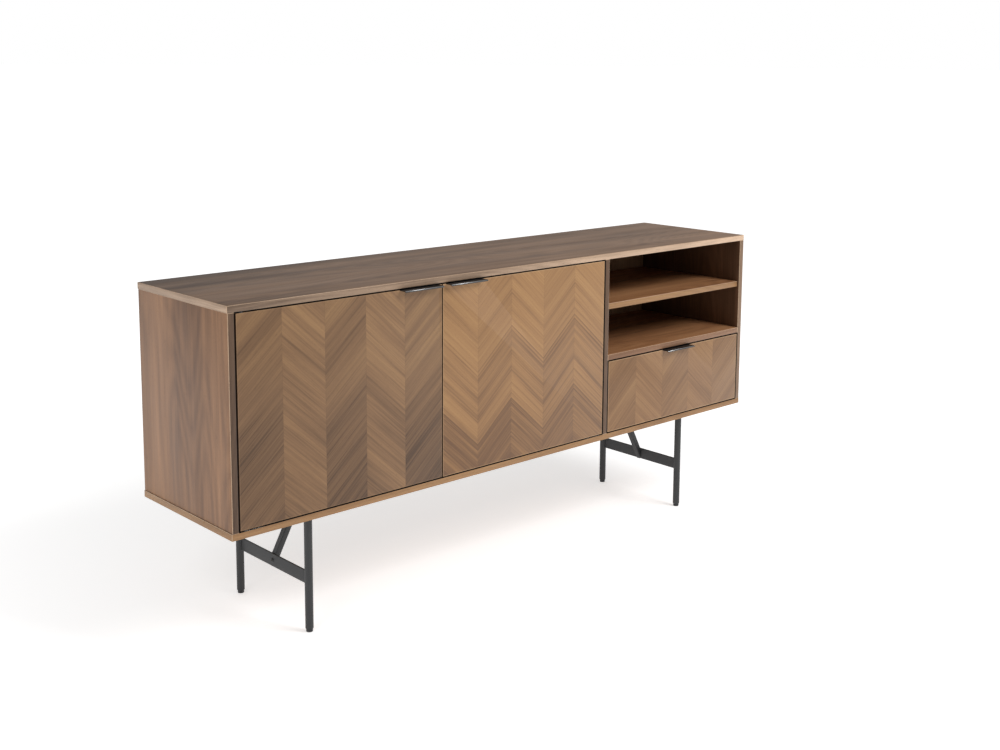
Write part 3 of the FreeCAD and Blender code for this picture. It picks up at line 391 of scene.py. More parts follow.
@dataclass(frozen=True)
class ChevronVeneer(Finish):
    """Upright strips of veneer on a front, whose slanting grain meets in points.

    Painted shade makes the tone sink towards the floor by sink, and by a second amount more on the
    rising strips. The rising strips are also painted darker, a painted sheen, and rim sets a
    painted highlight along the edges. Likeness says how much the strips are cut from one sheet,
    and pairs are the heights of dark bands.
    """

    node: str
    first: Slant
    likeness: float
    # painted shade: how much more the rising strips darken towards the floor
    rising_painted_shade: float
    seed: float
    tones: WoodTones
    # painted shade: how much the tone darkens towards the floor
    sink: float
    # painted highlight: how strong the pale rim along the edges is
    rim: float
    pairs: tuple[float, ...] = ()
    strips: int = 5
    slope: float = math.radians(42)
    roughness: float = 0.44

    def build(self) -> Material:
        """Makes the material.

        Returns:
            The material.
        """
        sheet, tones = self.sheet(), self.tones
        low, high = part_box(self.node)
        x, _, z = sheet.axes()
        width = (high.x - low.x) / self.strips
        offset = x - (low.x - (width if self.first is Slant.LEFT else 0.0))
        folded = offset.fold(width)
        strip = (offset / width).whole()
        rising = 1 - strip.wrap(2)
        cosine, sine = math.cos(self.slope), math.sin(self.slope)
        across = z * cosine - folded * sine
        along = folded * cosine + z * sine
        drift = strip * (1 - self.likeness) * 1.7 + self.seed
        broad = sheet.noise((along * 1.1, across * 17, drift), 2.0, 0.5, 0.2)
        bands = sheet.noise((along * 1.8, across * 58, drift + 5.1), 3.0, 0.55)
        lines = sheet.noise((along * 3.5, across * 230, drift + 9.7), 3.0, 0.6)
        fibres = sheet.noise((along * 14, across * 900, drift + 3.3), 2.0, 0.6)
        holes = sheet.noise((along * 110, across * 1600, drift), 1.0).rise(0.64, 0.75)
        gloss = sheet.noise((along * 4, across * 30, drift))
        # painted shade: darker towards the floor, and more on the rising strips
        sink = 1 - ((z - low.z) / (high.z - low.z)).rise(0.05, 0.95)
        tone = (0.58 + (broad - 0.5) * 0.6 + (bands - 0.5) * 0.54 + (lines - 0.5) * 0.72
                + (fibres - 0.5) * 0.3 - sink * self.sink - rising * sink * self.rising_painted_shade)
        wave = (broad - 0.5) * 0.016
        for level in self.pairs:
            for step, strength in ((0.0, 0.17), (0.009, 0.13)):
                gap = sheet.math("ABSOLUTE", across - (level - step) + wave)
                tone = tone - gap.rise(0.0026, 0.0006) * strength
            tone = tone - (across + wave).rise(level, level - 0.03) * 0.07
        inside = (x - low.x).least(high.x - x).least(z - low.z).least(high.z - z)
        seam = folded.least(width - folded).rise(0.0004, 0.0001)
        colour = sheet.ramp(tone, (0.12, tones.dark), (0.5, tones.middle), (0.9, tones.light))
        # painted sheen: the rising strips are painted darker
        for share, paint in ((rising * 0.16, tones.dark),
                             (lines.rise(0.60, 0.72) * 0.25, tones.dark),
                             (holes * 0.4, tones.pore),
                             # painted highlight: a pale rim along the front's edges
                             (inside.rise(0.0022, 0.0008) * self.rim, PAINTED_EDGE_HIGHLIGHT),
                             (seam * 0.35, tones.pore)):
            colour = sheet.mix(share, colour, paint)
        return sheet.lacquer(colour, self.roughness + (gloss - 0.5) * 0.14 - rising * 0.03,
                             fibres * 0.5 + lines * 0.3 - holes * 0.5 - seam * 0.4)


@dataclass(frozen=True)
class PaintedSteel(Finish):
    """Powder coated or lacquered steel with fine orange peel."""

    dark: Colour
    light: Colour
    roughness: float
    peel: float
    metallic: float = 0.0
    gloss: float = 0.0

    def build(self) -> Material:
        """Makes the material.

        Returns:
            The material.
        """
        sheet = self.sheet()
        place = sheet.place()
        grain, peel = sheet.noise(place, scale=1400), sheet.noise(place, scale=520)
        cloud = sheet.noise(place, 3.0, scale=14)
        specks = sheet.noise(place, 1.0, scale=2600).rise(0.66, 0.74)
        colour = sheet.mix(cloud * 0.6 + grain * 0.4, self.dark, self.light)
        return sheet.finish(
            sheet.mix(specks * 0.35, colour, SPECK), Metallic=self.metallic,
            Roughness=self.roughness + (cloud - 0.5) * 0.14 + (grain - 0.5) * 0.12,
            Coat_Weight=self.gloss, Coat_Roughness=0.14,
            Normal=sheet.bump(peel * 0.7 + grain * 0.3, self.peel, 0.0002))


@dataclass(frozen=True)
class PlatedSteel(Finish):
    """Zinc or nickel plated steel with rolling marks along one axis."""

    dark: Colour
    light: Colour
    roughness: float
    along: Grain = Grain.Y

    def build(self) -> Material:
        """Makes the material.

        Returns:
            The material.
        """
        sheet = self.sheet()
        run, side, deep = self.along.order(*sheet.axes())
        marks = sheet.noise((run * 20, side * 1500, deep * 1500), 3.0, 0.6)
        cloud = sheet.noise(sheet.place(), 3.0, scale=40)
        spangle = sheet.noise(sheet.place(), 1.0, scale=260)
        colour = sheet.mix(cloud * 0.55 + marks * 0.3 + spangle * 0.15, self.dark, self.light)
        roughness = self.roughness + (cloud - 0.5) * 0.2 + (marks - 0.5) * 0.14
        return sheet.finish(colour, Metallic=1.0, Roughness=roughness,
                            Normal=sheet.bump(marks, 0.12, 0.0001))


@dataclass(frozen=True)
class MouldedNylon(Finish):
    """Moulded nylon with a fine spark-eroded texture."""

    dark: Colour
    light: Colour

    def build(self) -> Material:
        """Makes the material.

        Returns:
            The material.
        """
        sheet = self.sheet()
        place = sheet.place()
        grain = sheet.noise(place, scale=1900)
        flow = sheet.noise(place, distortion=0.6, scale=60)
        return sheet.finish(sheet.mix(flow * 0.6 + grain * 0.4, self.dark, self.light),
                            Roughness=0.52 + (grain - 0.5) * 0.2 + (flow - 0.5) * 0.1,
                            Normal=sheet.bump(grain, 0.3, 0.0002))


@dataclass(frozen=True)
class StudioFloor(Finish):
    """Pale seamless floor with a very faint unevenness that glows as painted light, brighter from
    near to far.
    """

    near: float = 0.7
    far: float = 2.6

    def build(self) -> Material:
        """Makes the material.

        Returns:
            The material.
        """
        sheet = self.sheet()
        x, y, _ = sheet.axes()
        cloud = sheet.noise(sheet.place(), scale=1.3)
        away = sheet.math("SQRT", x * x + y * y).rise(self.near, self.far)
        return sheet.finish(sheet.mix(cloud, shade(243, 243, 243), shade(248, 248, 248)),
                            Roughness=0.75 + (cloud - 0.5) * 0.1, Emission_Strength=0.75,
                            Emission_Color=sheet.mix(away, shade(207, 207, 207),
                                                     shade(255, 255, 255)))


class Finishes:
    """Every material of the sideboard, each built once."""

    def __init__(self) -> None:
        """Builds the materials that the sub-assemblies share."""
        self.walnut = self.each_way("walnut", WALNUT, 0.6)
        self.edging = self.each_way("walnut_edge", WALNUT_EDGE, 0.7)
        # painted shade inside the open niche
        self.inner = self.each_way("walnut_inner", NICHE_SHADE_WALNUT, 0.7)
        # painted shade for the faces that line the gaps behind the fronts
        self.gap_shade = self.each_way("painted_gap_shade", GAP_SHADE_TONES, 0.6)
        # painted shade on the fronts' edges
        self.door_edging = self.each_way("door_edge", DOOR_EDGE_SHADE_TONES, 0.6)
        self.birch = self.each_way("birch", PALE_BIRCH, 0.6, 0.5)
        # painted light towards the right on the top, its front edge and the uprights' front edges
        self.top = StraightVeneer("walnut_top", Grain.X, TOP_WALNUT, 0.9, painted_light_slope=0.18).build()
        self.top_edging = StraightVeneer("walnut_top_edge", Grain.X, TOP_EDGE, 0.6,
                                         painted_light_slope=0.42).build()
        self.top_end = StraightVeneer("walnut_top_end", Grain.Y, TOP_EDGE, 0.6).build()
        self.rail_edging = StraightVeneer("walnut_rail_edge", Grain.X, RAIL_EDGE, 0.7).build()
        self.side = StraightVeneer("walnut_side", Grain.Z, SIDE_WALNUT, 0.95).build()
        self.post_edging = StraightVeneer("walnut_post_edge", Grain.Z, POST_EDGE, 0.5,
                                          painted_light_slope=0.26).build()
        # painted light on the tops of the niche shelf and the drawer's rail
        self.lit_shelf_top = StraightVeneer("walnut_lit_shelf_top", Grain.X, LIT_SHELF_WALNUT, 0.9).build()
        # painted highlight on the arrises that face the light
        self.arris = StraightVeneer("walnut_arris", Grain.X, ARRIS_HIGHLIGHT_WALNUT, 0.6, 0.38).build()
        self.beech = StraightVeneer("beech_dowel", Grain.Z, BEECH, 0.6, 0.6).build()
        self.anthracite = PaintedSteel("anthracite_powder_coat", shade(35, 36, 37),
                                       shade(46, 47, 49), 0.5, 0.35).build()
        self.black = PaintedSteel("black_lacquer", shade(20, 20, 21), shade(30, 30, 31), 0.42, 0.1,
                                  0.0, 0.2).build()
        self.oxide = PaintedSteel("black_oxide", shade(52, 52, 55), shade(84, 84, 88), 0.36, 0.1,
                                  0.8).build()
        # painted glint: bright metal for the top of the pulls' lips
        self.painted_glint_metal = PlatedSteel("painted_glint_metal", shade(150, 150, 150), shade(190, 190, 190),
                                      0.34, Grain.X).build()
        self.zinc = PlatedSteel("zinc_plate", shade(150, 154, 160), shade(200, 203, 207),
                                0.34).build()
        self.nickel = PlatedSteel("nickel_plate", shade(168, 165, 158), shade(214, 212, 206),
                                  0.26).build()
        self.nylon = MouldedNylon("black_nylon", shade(30, 30, 32), shade(46, 46, 48)).build()
        self.felt = MouldedNylon("glide_felt", shade(70, 68, 66), shade(104, 101, 98)).build()

    @staticmethod
    def each_way(name: str, wood: WoodTones, *look: float) -> list[Material]:
        """One veneer in each of the three grains."""
        return [StraightVeneer(f"{name}_{grain.name.lower()}", grain, wood, *look).build()
                for grain in Grain]


# Modelling


class Piece:
    """A mesh object that is shaped one step after another; most steps return the piece."""

    def __init__(self, item: bpy.types.Object) -> None:
        """Takes up an object."""
        self.item = item

    @classmethod
    def add(cls, name: str, primitive: Callable[..., object], **sizes: object) -> "Piece":
        """Adds a primitive at its size and place.

        Args:
            name: the piece's name.
            primitive: the operator that adds it.
            sizes: the operator's settings.

        Returns:
            The piece.
        """
        bpy.ops.object.select_all(action="DESELECT")
        primitive(**sizes)
        return cls(bpy.context.object).settle(name)

    @classmethod
    def block(cls, name: str, low: Sequence[float], high: Sequence[float]) -> "Piece":
        """A block between two corners.

        Args:
            name: its name.
            low: the lowest corner.
            high: the highest corner.

        Returns:
            The piece.
        """
        a, b = Vector(low), Vector(high)
        return cls.add(name, bpy.ops.mesh.primitive_cube_add, size=1, location=(a + b) / 2,
                       scale=b - a)

    @classmethod
    def turned(cls, name: str, profile: Sequence[Pair], sides: int = 24,
               hollow: bool = False) -> "Piece":
        """A turned piece about the Z axis, from a circle that is extruded and resized.

        Args:
            name: its name.
            profile: radius and height of each ring, upwards; a hollow one runs once round.
            sides: how many sides the circle has.
            hollow: True for a ring whose profile closes on itself.

        Returns:
            The piece.
        """
        start = profile[0]
        piece = cls.add(name, bpy.ops.mesh.primitive_circle_add, vertices=sides, radius=start[0],
                        location=(0, 0, start[1]), fill_type="NOTHING" if hollow else "NGON")
        extrude = bpy.ops.mesh.extrude_edges_move if hollow else bpy.ops.mesh.extrude_region_move

        def rings() -> None:
            """Extrudes ring after ring."""
            radius, height = start
            for wide, high in [*profile[1:], *([start] if hollow else [])]:
                extrude(TRANSFORM_OT_translate={"value": (0, 0, high - height)})
                ratio = wide / radius
                bpy.ops.transform.resize(value=(ratio, ratio, 1), center_override=(0, 0, high))
                radius, height = wide, high
            bpy.ops.mesh.select_all(action="SELECT")
            bpy.ops.mesh.remove_doubles(threshold=1e-6)
            bpy.ops.mesh.normals_make_consistent(inside=False)
        return piece.edit(rings, edges=True)

    @classmethod
    def folded(cls, name: str, line: Sequence[Pair], start: float, end: float,
               thickness: float, bend: float, steps: int) -> "Piece":
        """Sheet metal bent along X-parallel lines: a strip extruded edge by edge, then thickened.

        Args:
            name: its name.
            line: the outer surface's corners as y and z, in order.
            start: the lowest x.
            end: the highest x.
            thickness: the sheet's thickness, inwards.
            bend: the outer radius of each bend.
            steps: how many faces a bend has.

        Returns:
            The piece.
        """
        def along_x(*corners: Vector) -> Test:
            """A test for the edges that lie on X-parallel lines through corners."""
            return lambda a, b: any(all((v - c).yz.length < TINY for v in (a, b)) for c in corners)
        (y0, z0), (y1, z1) = line[0], line[1]
        bpy.ops.object.select_all(action="DESELECT")
        bpy.ops.mesh.primitive_plane_add(
            size=1, location=((start + end) / 2, (y0 + y1) / 2, (z0 + z1) / 2))
        item = bpy.context.object
        run = Vector((0, y1 - y0, z1 - z0))
        item.scale = (end - start, run.length, 1)
        item.rotation_euler = (math.atan2(run.z, run.y), 0, 0)
        piece = cls(item).settle(name)
        for (ya, za), (yb, zb) in zip(line[1:], line[2:]):
            step = (0, yb - ya, zb - za)
            piece.edit(lambda: bpy.ops.mesh.extrude_edges_move(
                TRANSFORM_OT_translate={"value": step}), along_x(Vector((0, ya, za))), edges=True)
        piece.bevel(bend, steps, along_x(*(Vector((0, y, z)) for y, z in line[1:-1])))
        mesh = item.data
        middle = sum((v.co for v in mesh.vertices), Vector()) / len(mesh.vertices)
        largest = max(mesh.polygons, key=lambda face: face.area)
        inward = (middle - largest.center).dot(largest.normal)
        piece.modify("SOLIDIFY", thickness=thickness, offset=1.0 if inward > 0 else -1.0,
                     use_even_offset=True)
        return piece.edit(lambda: bpy.ops.mesh.normals_make_consistent(inside=False))

    def take(self, *others: "Piece") -> None:
        """Selects this piece, as the active one, and others.

        Args:
            others: the other pieces.
        """
        bpy.ops.object.select_all(action="DESELECT")
        for piece in (self, *others):
            piece.item.select_set(True)
        bpy.context.view_layer.objects.active = self.item

    def named(self, name: str) -> "Piece":
        """Names the object and its mesh."""
        self.item.name = self.item.data.name = name
        return self

    def settle(self, name: str) -> "Piece":
        """Names the object and puts its place, turn and size into its mesh.

        Args:
            name: the object's and the mesh's name.

        Returns:
            The piece.
        """
        self.take()
        bpy.ops.object.transform_apply(location=True, rotation=True, scale=True)
        return self.named(name)

    def drop(self) -> None:
        """Throws the object away."""
        bpy.data.objects.remove(self.item, do_unlink=True)

    def edit(self, operate: Callable[[], object], wanted: Test = lambda a, b: True,
             edges: bool = False) -> "Piece":
        """Works on chosen faces or edges in edit mode, if there are any.

        Args:
            operate: runs the operators.
            wanted: a test of middle and normal for a face, or of both ends for an edge.
            edges: True to choose edges.

        Returns:
            The piece.
        """
        self.take()
        mesh = self.item.data
        bpy.context.tool_settings.mesh_select_mode = (False, edges, not edges)
        for parts in (mesh.vertices, mesh.edges, mesh.polygons):
            parts.foreach_set("select", [False] * len(parts))
        if edges:
            chosen = [edge for edge in mesh.edges
                      if wanted(*(mesh.vertices[v].co for v in edge.vertices))]
        else:
            chosen = [face for face in mesh.polygons if wanted(face.center, face.normal)]
        for part in chosen:
            part.select = True
        bpy.ops.object.mode_set(mode="EDIT")
        if chosen:
            operate()
        bpy.ops.object.mode_set(mode="OBJECT")
        return self

    def bevel(self, width: float, segments: int, wanted: Test = lambda a, b: True) -> "Piece":
        """Rounds the edges that a test of both ends finds."""
        return self.edit(lambda: bpy.ops.mesh.bevel(offset=width, segments=segments, profile=0.5,
                                                    affect="EDGES"), wanted, edges=True)

    def split(self, point: Sequence[float], normal: Sequence[float], clear: bool = False
              ) -> "Piece":
        """Cuts all faces along a plane; clear takes its outer side away and closes the cut."""
        return self.edit(lambda: bpy.ops.mesh.bisect(
            plane_co=point, plane_no=normal, clear_outer=clear, use_fill=clear))

    def modify(self, kind: str, **settings: object) -> "Piece":
        """Adds a modifier and applies it.

        Args:
            kind: the modifier's type.
            settings: its settings.

        Returns:
            The piece.
        """
        modifier = self.item.modifiers.new(kind.lower(), kind)
        for key, value in settings.items():
            setattr(modifier, key, value)
        self.take()
        bpy.ops.object.modifier_apply(modifier=modifier.name)
        return self

    def soften(self, width: float, segments: int = 2, angle: float = 35.0) -> "Piece":
        """Rounds every edge that is sharper than an angle in degrees."""
        return self.modify("BEVEL", width=width, segments=segments, limit_method="ANGLE",
                           angle_limit=math.radians(angle))

    def cut(self, *cutters: "Piece") -> "Piece":
        """Cuts shapes out of the piece and throws them away.

        Args:
            cutters: the shapes.

        Returns:
            The piece.
        """
        for cutter in cutters:
            self.modify("BOOLEAN", operation="DIFFERENCE", solver="EXACT", object=cutter.item)
            cutter.drop()
        return self

    def move(self, matrix: Matrix) -> "Piece":
        """Moves the mesh by a matrix."""
        self.item.data.transform(matrix)
        return self

    def copy(self, place: Matrix) -> "Piece":
        """A copy with its own mesh, moved by a matrix.

        Args:
            place: where the copy goes.

        Returns:
            The copy.
        """
        twin = self.item.copy()
        twin.data = self.item.data.copy()
        bpy.context.scene.collection.objects.link(twin)
        copy = Piece(twin).move(place)
        if place.determinant() < 0:
            twin.data.flip_normals()
        return copy

    def repeat(self, name: str, places: Iterable[Matrix]) -> "Piece":
        """Copies at places, joined as one, instead of the piece.

        Args:
            name: the new name.
            places: where the copies go.

        Returns:
            The joined copies.
        """
        first, *others = [self.copy(place) for place in places]
        self.drop()
        return first.join(name, *others)

    def join(self, name: str, *others: "Piece") -> "Piece":
        """Joins others to this piece.

        Args:
            name: the name of the whole.
            others: the other pieces.

        Returns:
            The piece.
        """
        self.take(*others)
        bpy.ops.object.join()
        return self.named(name)

    def smooth(self, angle: float = 40.0) -> "Piece":
        """Shades smooth, except over sharp edges.

        Args:
            angle: the least angle of a sharp edge, in degrees.

        Returns:
            The piece.
        """
        self.take()
        bpy.ops.object.shade_smooth_by_angle(angle=math.radians(angle))
        return self

    def coat(self, *materials: Material) -> "Piece":
        """Gives the piece its materials.

        Args:
            materials: the materials, the first one for every face.

        Returns:
            The piece.
        """
        slots = self.item.data.materials
        slots.clear()
        for material in materials:
            slots.append(material)
        return self

    def paint(self, choose: Callable[[Face], int]) -> "Piece":
        """Chooses the material slot of each face.

        Args:
            choose: gives the slot of a face.

        Returns:
            The piece.
        """
        for face in self.item.data.polygons:
            face.material_index = int(choose(face))
        return self

    def enter(self, body: str, slot: str, node: str) -> None:
        """Lets the piece ride on a body in place of a CAD node.

        Args:
            body: the body that it rides on.
            slot: the record's material slot; not used.
            node: the CAD node.
        """
        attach(self.item, body)
        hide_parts(node)
        LOG.info("%s on %s, %d faces", self.item.name, body, len(self.item.data.polygons))


def runs(axis: Grain, least: float) -> Test:
    """A test for the edges that run along an axis for more than a length."""
    return lambda a, b: abs(a[axis.value] - b[axis.value]) > least


def aim(place: Sequence[float], way: Sequence[float] = UP, turn: float = 0.0) -> Matrix:
    """A matrix to a place, with the Z axis along a direction after a turn in radians."""
    direction = Vector(UP).rotation_difference(Vector(way)).to_matrix().to_4x4()
    return Matrix.Translation(Vector(place)) @ direction @ Matrix.Rotation(turn, 4, "Z")


def middle_of(node: str) -> Vector:
    """The middle of a CAD node's box."""
    low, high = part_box(node)
    return (low + high) / 2


@dataclass(frozen=True)
class HingePlate:
    """The plate under a hinge pin: how far it reaches from the pin, and its other sizes."""

    short: float = 0.006
    long: float = 0.046
    half: float = 0.0055
    thickness: float = 0.0015
    corner: float = 0.003

    def shape(self, name: str, grow: float = 0.0) -> Piece:
        """The plate at the origin, its face at Z = 0.

        Args:
            name: its name.
            grow: how much larger it is on every side.

        Returns:
            The piece.
        """
        low = (-self.short - grow, -self.half - grow, -self.thickness - grow)
        plate = Piece.block(name, low, (self.long + grow, self.half + grow, grow * 4))
        return plate.bevel(self.corner + grow, 4, runs(Grain.Z, 0.001))

    @staticmethod
    def places() -> list[Matrix]:
        """Where the plates lie: on the floor and the ceiling of the box, at both doors.

        Returns:
            One matrix for each plate.
        """
        low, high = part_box("hinge_plates")
        floor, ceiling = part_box("bottom_panel")[1].z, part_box("top_panel")[0].z
        return [Matrix.Translation((middle_of(f"{name}_door_bushes").x, (low.y + high.y) / 2, z))
                @ Matrix.Diagonal((side, 1, way, 1))
                for name, side in (("left", 1), ("right", -1))
                for z, way in ((floor, 1), (ceiling, -1))]


# Sub-assemblies


@dataclass
class Assembly:
    """A sub-assembly of the sideboard."""

    finishes: Finishes


@dataclass
class Boards(Assembly):
    """Veneered boards of the box and its shelves."""

    arris: float = 0.0009
    corner: float = 0.002
    back_round: float = 0.0004
    recess_play: float = 0.0001
    reach: float = 0.002
    near: float = 0.001
    niche_play: float = 0.004

    def rooms(self) -> list[tuple[Vector, Vector]]:
        """The spaces that the doors and the drawer's front close, front faces included.

        Returns:
            The lowest and the highest corner of each.
        """
        floor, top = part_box("bottom_panel")[1].z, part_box("top_panel")[0].z
        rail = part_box("drawer_top_shelf")[0].z
        front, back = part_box("left_door")[0].y - self.reach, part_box("left_door")[1].y
        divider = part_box("divider_panel")
        return [(Vector((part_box("left_side_panel")[1].x, front, floor)),
                 Vector((divider[0].x, back, top))),
                (Vector((divider[1].x, front, floor)),
                 Vector((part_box("right_side_panel")[0].x, back, rail)))]

    def dress(self, board: Piece, grain: Grain, size: Vector, large: Optional[Material],
              front: Optional[Material]) -> None:
        """Gives each side of a board the veneer whose grain runs along it.

        Args:
            board: the board.
            grain: the grain of its two large faces.
            size: its width, depth and height.
            large: the veneer of the large faces, if not the common one.
            front: the veneer of its front edge, if not the common one.
        """
        f, rooms = self.finishes, self.rooms()
        edging = list(f.edging)
        if front:
            edging[grain.value] = front
        if large is f.top:
            edging[Grain.Y.value] = f.top_end
        board.coat(*f.walnut, *edging, f.arris, f.gap_shade[grain.value], large or f.walnut[0],
                   f.inner[grain.value])
        thin = min(range(3), key=lambda i: size[i])
        left, right = (corner.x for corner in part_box("niche_shelf"))
        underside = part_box("bottom_panel")[0].z

        def choose(face: Face) -> int:
            """The cover of a face: painted shade in the shadow gaps and the niche, painted
            highlight on lit arrises.

            Args:
                face: the face.

            Returns:
                The material slot.
            """
            normal = face.normal
            sizes = [abs(part) for part in normal]
            axis = sizes.index(max(sizes))
            ahead = face.center + normal * self.reach
            # painted shade on faces that line a gap behind a front
            if sizes[1] < 0.95 and any(all(low[n] < ahead[n] < high[n] for n in range(3))
                                       for low, high in rooms):
                return Cover.GAP_PAINTED_SHADE
            if sizes[axis] < SQUARE:
                # painted highlight on the arrises that face the light
                lit = normal.z > 0.2 or normal.y < -0.2 and sizes[0] > 0.2
                return Cover.ARRIS if lit else Cover.EDGE + grain.value
            if axis != thin:
                return Cover.EDGE + max((i for i in range(3) if i != axis), key=lambda i: size[i])
            # painted shade on faces inside the open niche
            ahead = face.center + normal * self.near
            if (left - self.niche_play < ahead.x < right + self.niche_play
                    and ahead.z > underside and normal.z < 0.5 and normal.y > -0.5):
                return Cover.NICHE_PAINTED_SHADE
            return Cover.LARGE if large else grain.value
        board.paint(choose)

    def board(self, node: str, grain: Grain, upright_round: float = 0.0,
              large: Optional[Material] = None, front: Optional[Material] = None) -> None:
        """One board, with rounded arrises, and painted shade where it lines a shadow gap.

        Args:
            node: the CAD node.
            grain: the grain of its large faces.
            upright_round: the rounding of the upright edges at its front corners.
            large: the veneer of its large faces, if not the common one.
            front: the veneer of its front edge, if not the common one.
        """
        low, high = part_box(node)
        item = Piece.block(f"{node}_board", low, high)
        if upright_round:
            item.bevel(upright_round, 4,
                       lambda a, b: (a - b).xy.length < 1e-6 and a.y < low.y + TINY)
        item.soften(self.arris)
        for corners in self.rooms():
            for axis in Grain:
                for corner in corners:
                    item.split(corner, [float(axis.value == n) for n in range(3)])
        if node in ("top_panel", "bottom_panel"):
            shape = HingePlate().shape("recess", self.recess_play)
            recesses = [shape.copy(place) for place in HingePlate.places()]
            shape.drop()
            item.cut(*recesses)
        self.dress(item, grain, high - low, large, front)
        item.smooth().enter("root", "carcass_veneer", node)

    def build(self) -> None:
        """Makes and enters every board."""
        f = self.finishes
        level, upright = Grain.X, Grain.Z
        self.board("top_panel", level, self.corner, f.top, f.top_edging)
        self.board("bottom_panel", level, self.corner)
        # painted light on the tops of the drawer's rail and the niche shelf
        self.board("drawer_top_shelf", level, 0.0, f.lit_shelf_top, f.rail_edging)
        self.board("niche_shelf", level, 0.0, f.lit_shelf_top)
        for node in ("left_inner_shelf", "right_inner_shelf"):
            self.board(node, level)
        for node in ("left_side_panel", "right_side_panel"):
            self.board(node, upright, 0.0, f.side, f.post_edging)
        self.board("divider_panel", upright, 0.0, None, f.post_edging)
        self.board("centre_partition", upright)
        back = Piece.block("back_panel_board", *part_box("back_panel")).soften(self.back_round, 1)
        back.coat(f.walnut[upright.value]).smooth().enter("root", "back_veneer", "back_panel")
        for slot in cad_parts["dowels"].material_slots:
            slot.material = f.beech


@dataclass
class Fronts(Assembly):
    """The two doors and the drawer's front in chevron veneer."""

    arris: float = 0.0006
    seat: float = 0.0015
    spare: float = 0.001

    def front(self, body: str, pull: str, look: ChevronVeneer) -> None:
        """One front, with its pull's seat in the top edge.

        Args:
            body: the body that it rides on.
            pull: the CAD node of its pull.
            look: its veneer.
        """
        low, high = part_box(look.node)
        left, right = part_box(pull)
        item = Piece.block(f"{look.node}_panel", low, high).soften(self.arris)
        item.cut(Piece.block("seat", (left.x, low.y - self.spare, high.z - self.seat),
                             (right.x, high.y + self.spare, high.z + self.spare)))
        f = self.finishes
        item.coat(look.build(), *f.door_edging, f.walnut[Grain.Z.value])

        def choose(face: Face) -> int:
            """The cover of a face: chevrons in front, plain veneer behind, edges in painted shade.

            Args:
                face: the face.

            Returns:
                The material slot.
            """
            y, z = face.normal.yz
            if abs(y) > SQUARE or y < -0.5:
                return 0 if y < 0 else 4
            return 1 + (Grain.X if abs(z) > SQUARE else Grain.Z).value
        item.paint(choose).smooth().enter(body, "front_veneer", look.node)

    def build(self) -> None:
        """Makes and enters the three fronts."""
        for body, pull, look in (
                ("left_door", "left_door_pull", ChevronVeneer(
                    "chevron_left_door", "left_door", Slant.RIGHT, 0.1, 0.16, 1.3,
                    LEFT_DOOR_WALNUT, 0.14, 0.15)),
                ("right_door", "right_door_pull", ChevronVeneer(
                    "chevron_right_door", "right_door", Slant.LEFT, 0.95, 0.04, 4.7,
                    RIGHT_DOOR_WALNUT, 0.16, 0.45, (0.382, 0.252))),
                ("drawer", "drawer_pull", ChevronVeneer(
                    "chevron_drawer", "drawer_front", Slant.RIGHT, 0.6, 0.0, 8.2,
                    DRAWER_WALNUT, 0.06, 0.6))):
            self.front(body, pull, look)


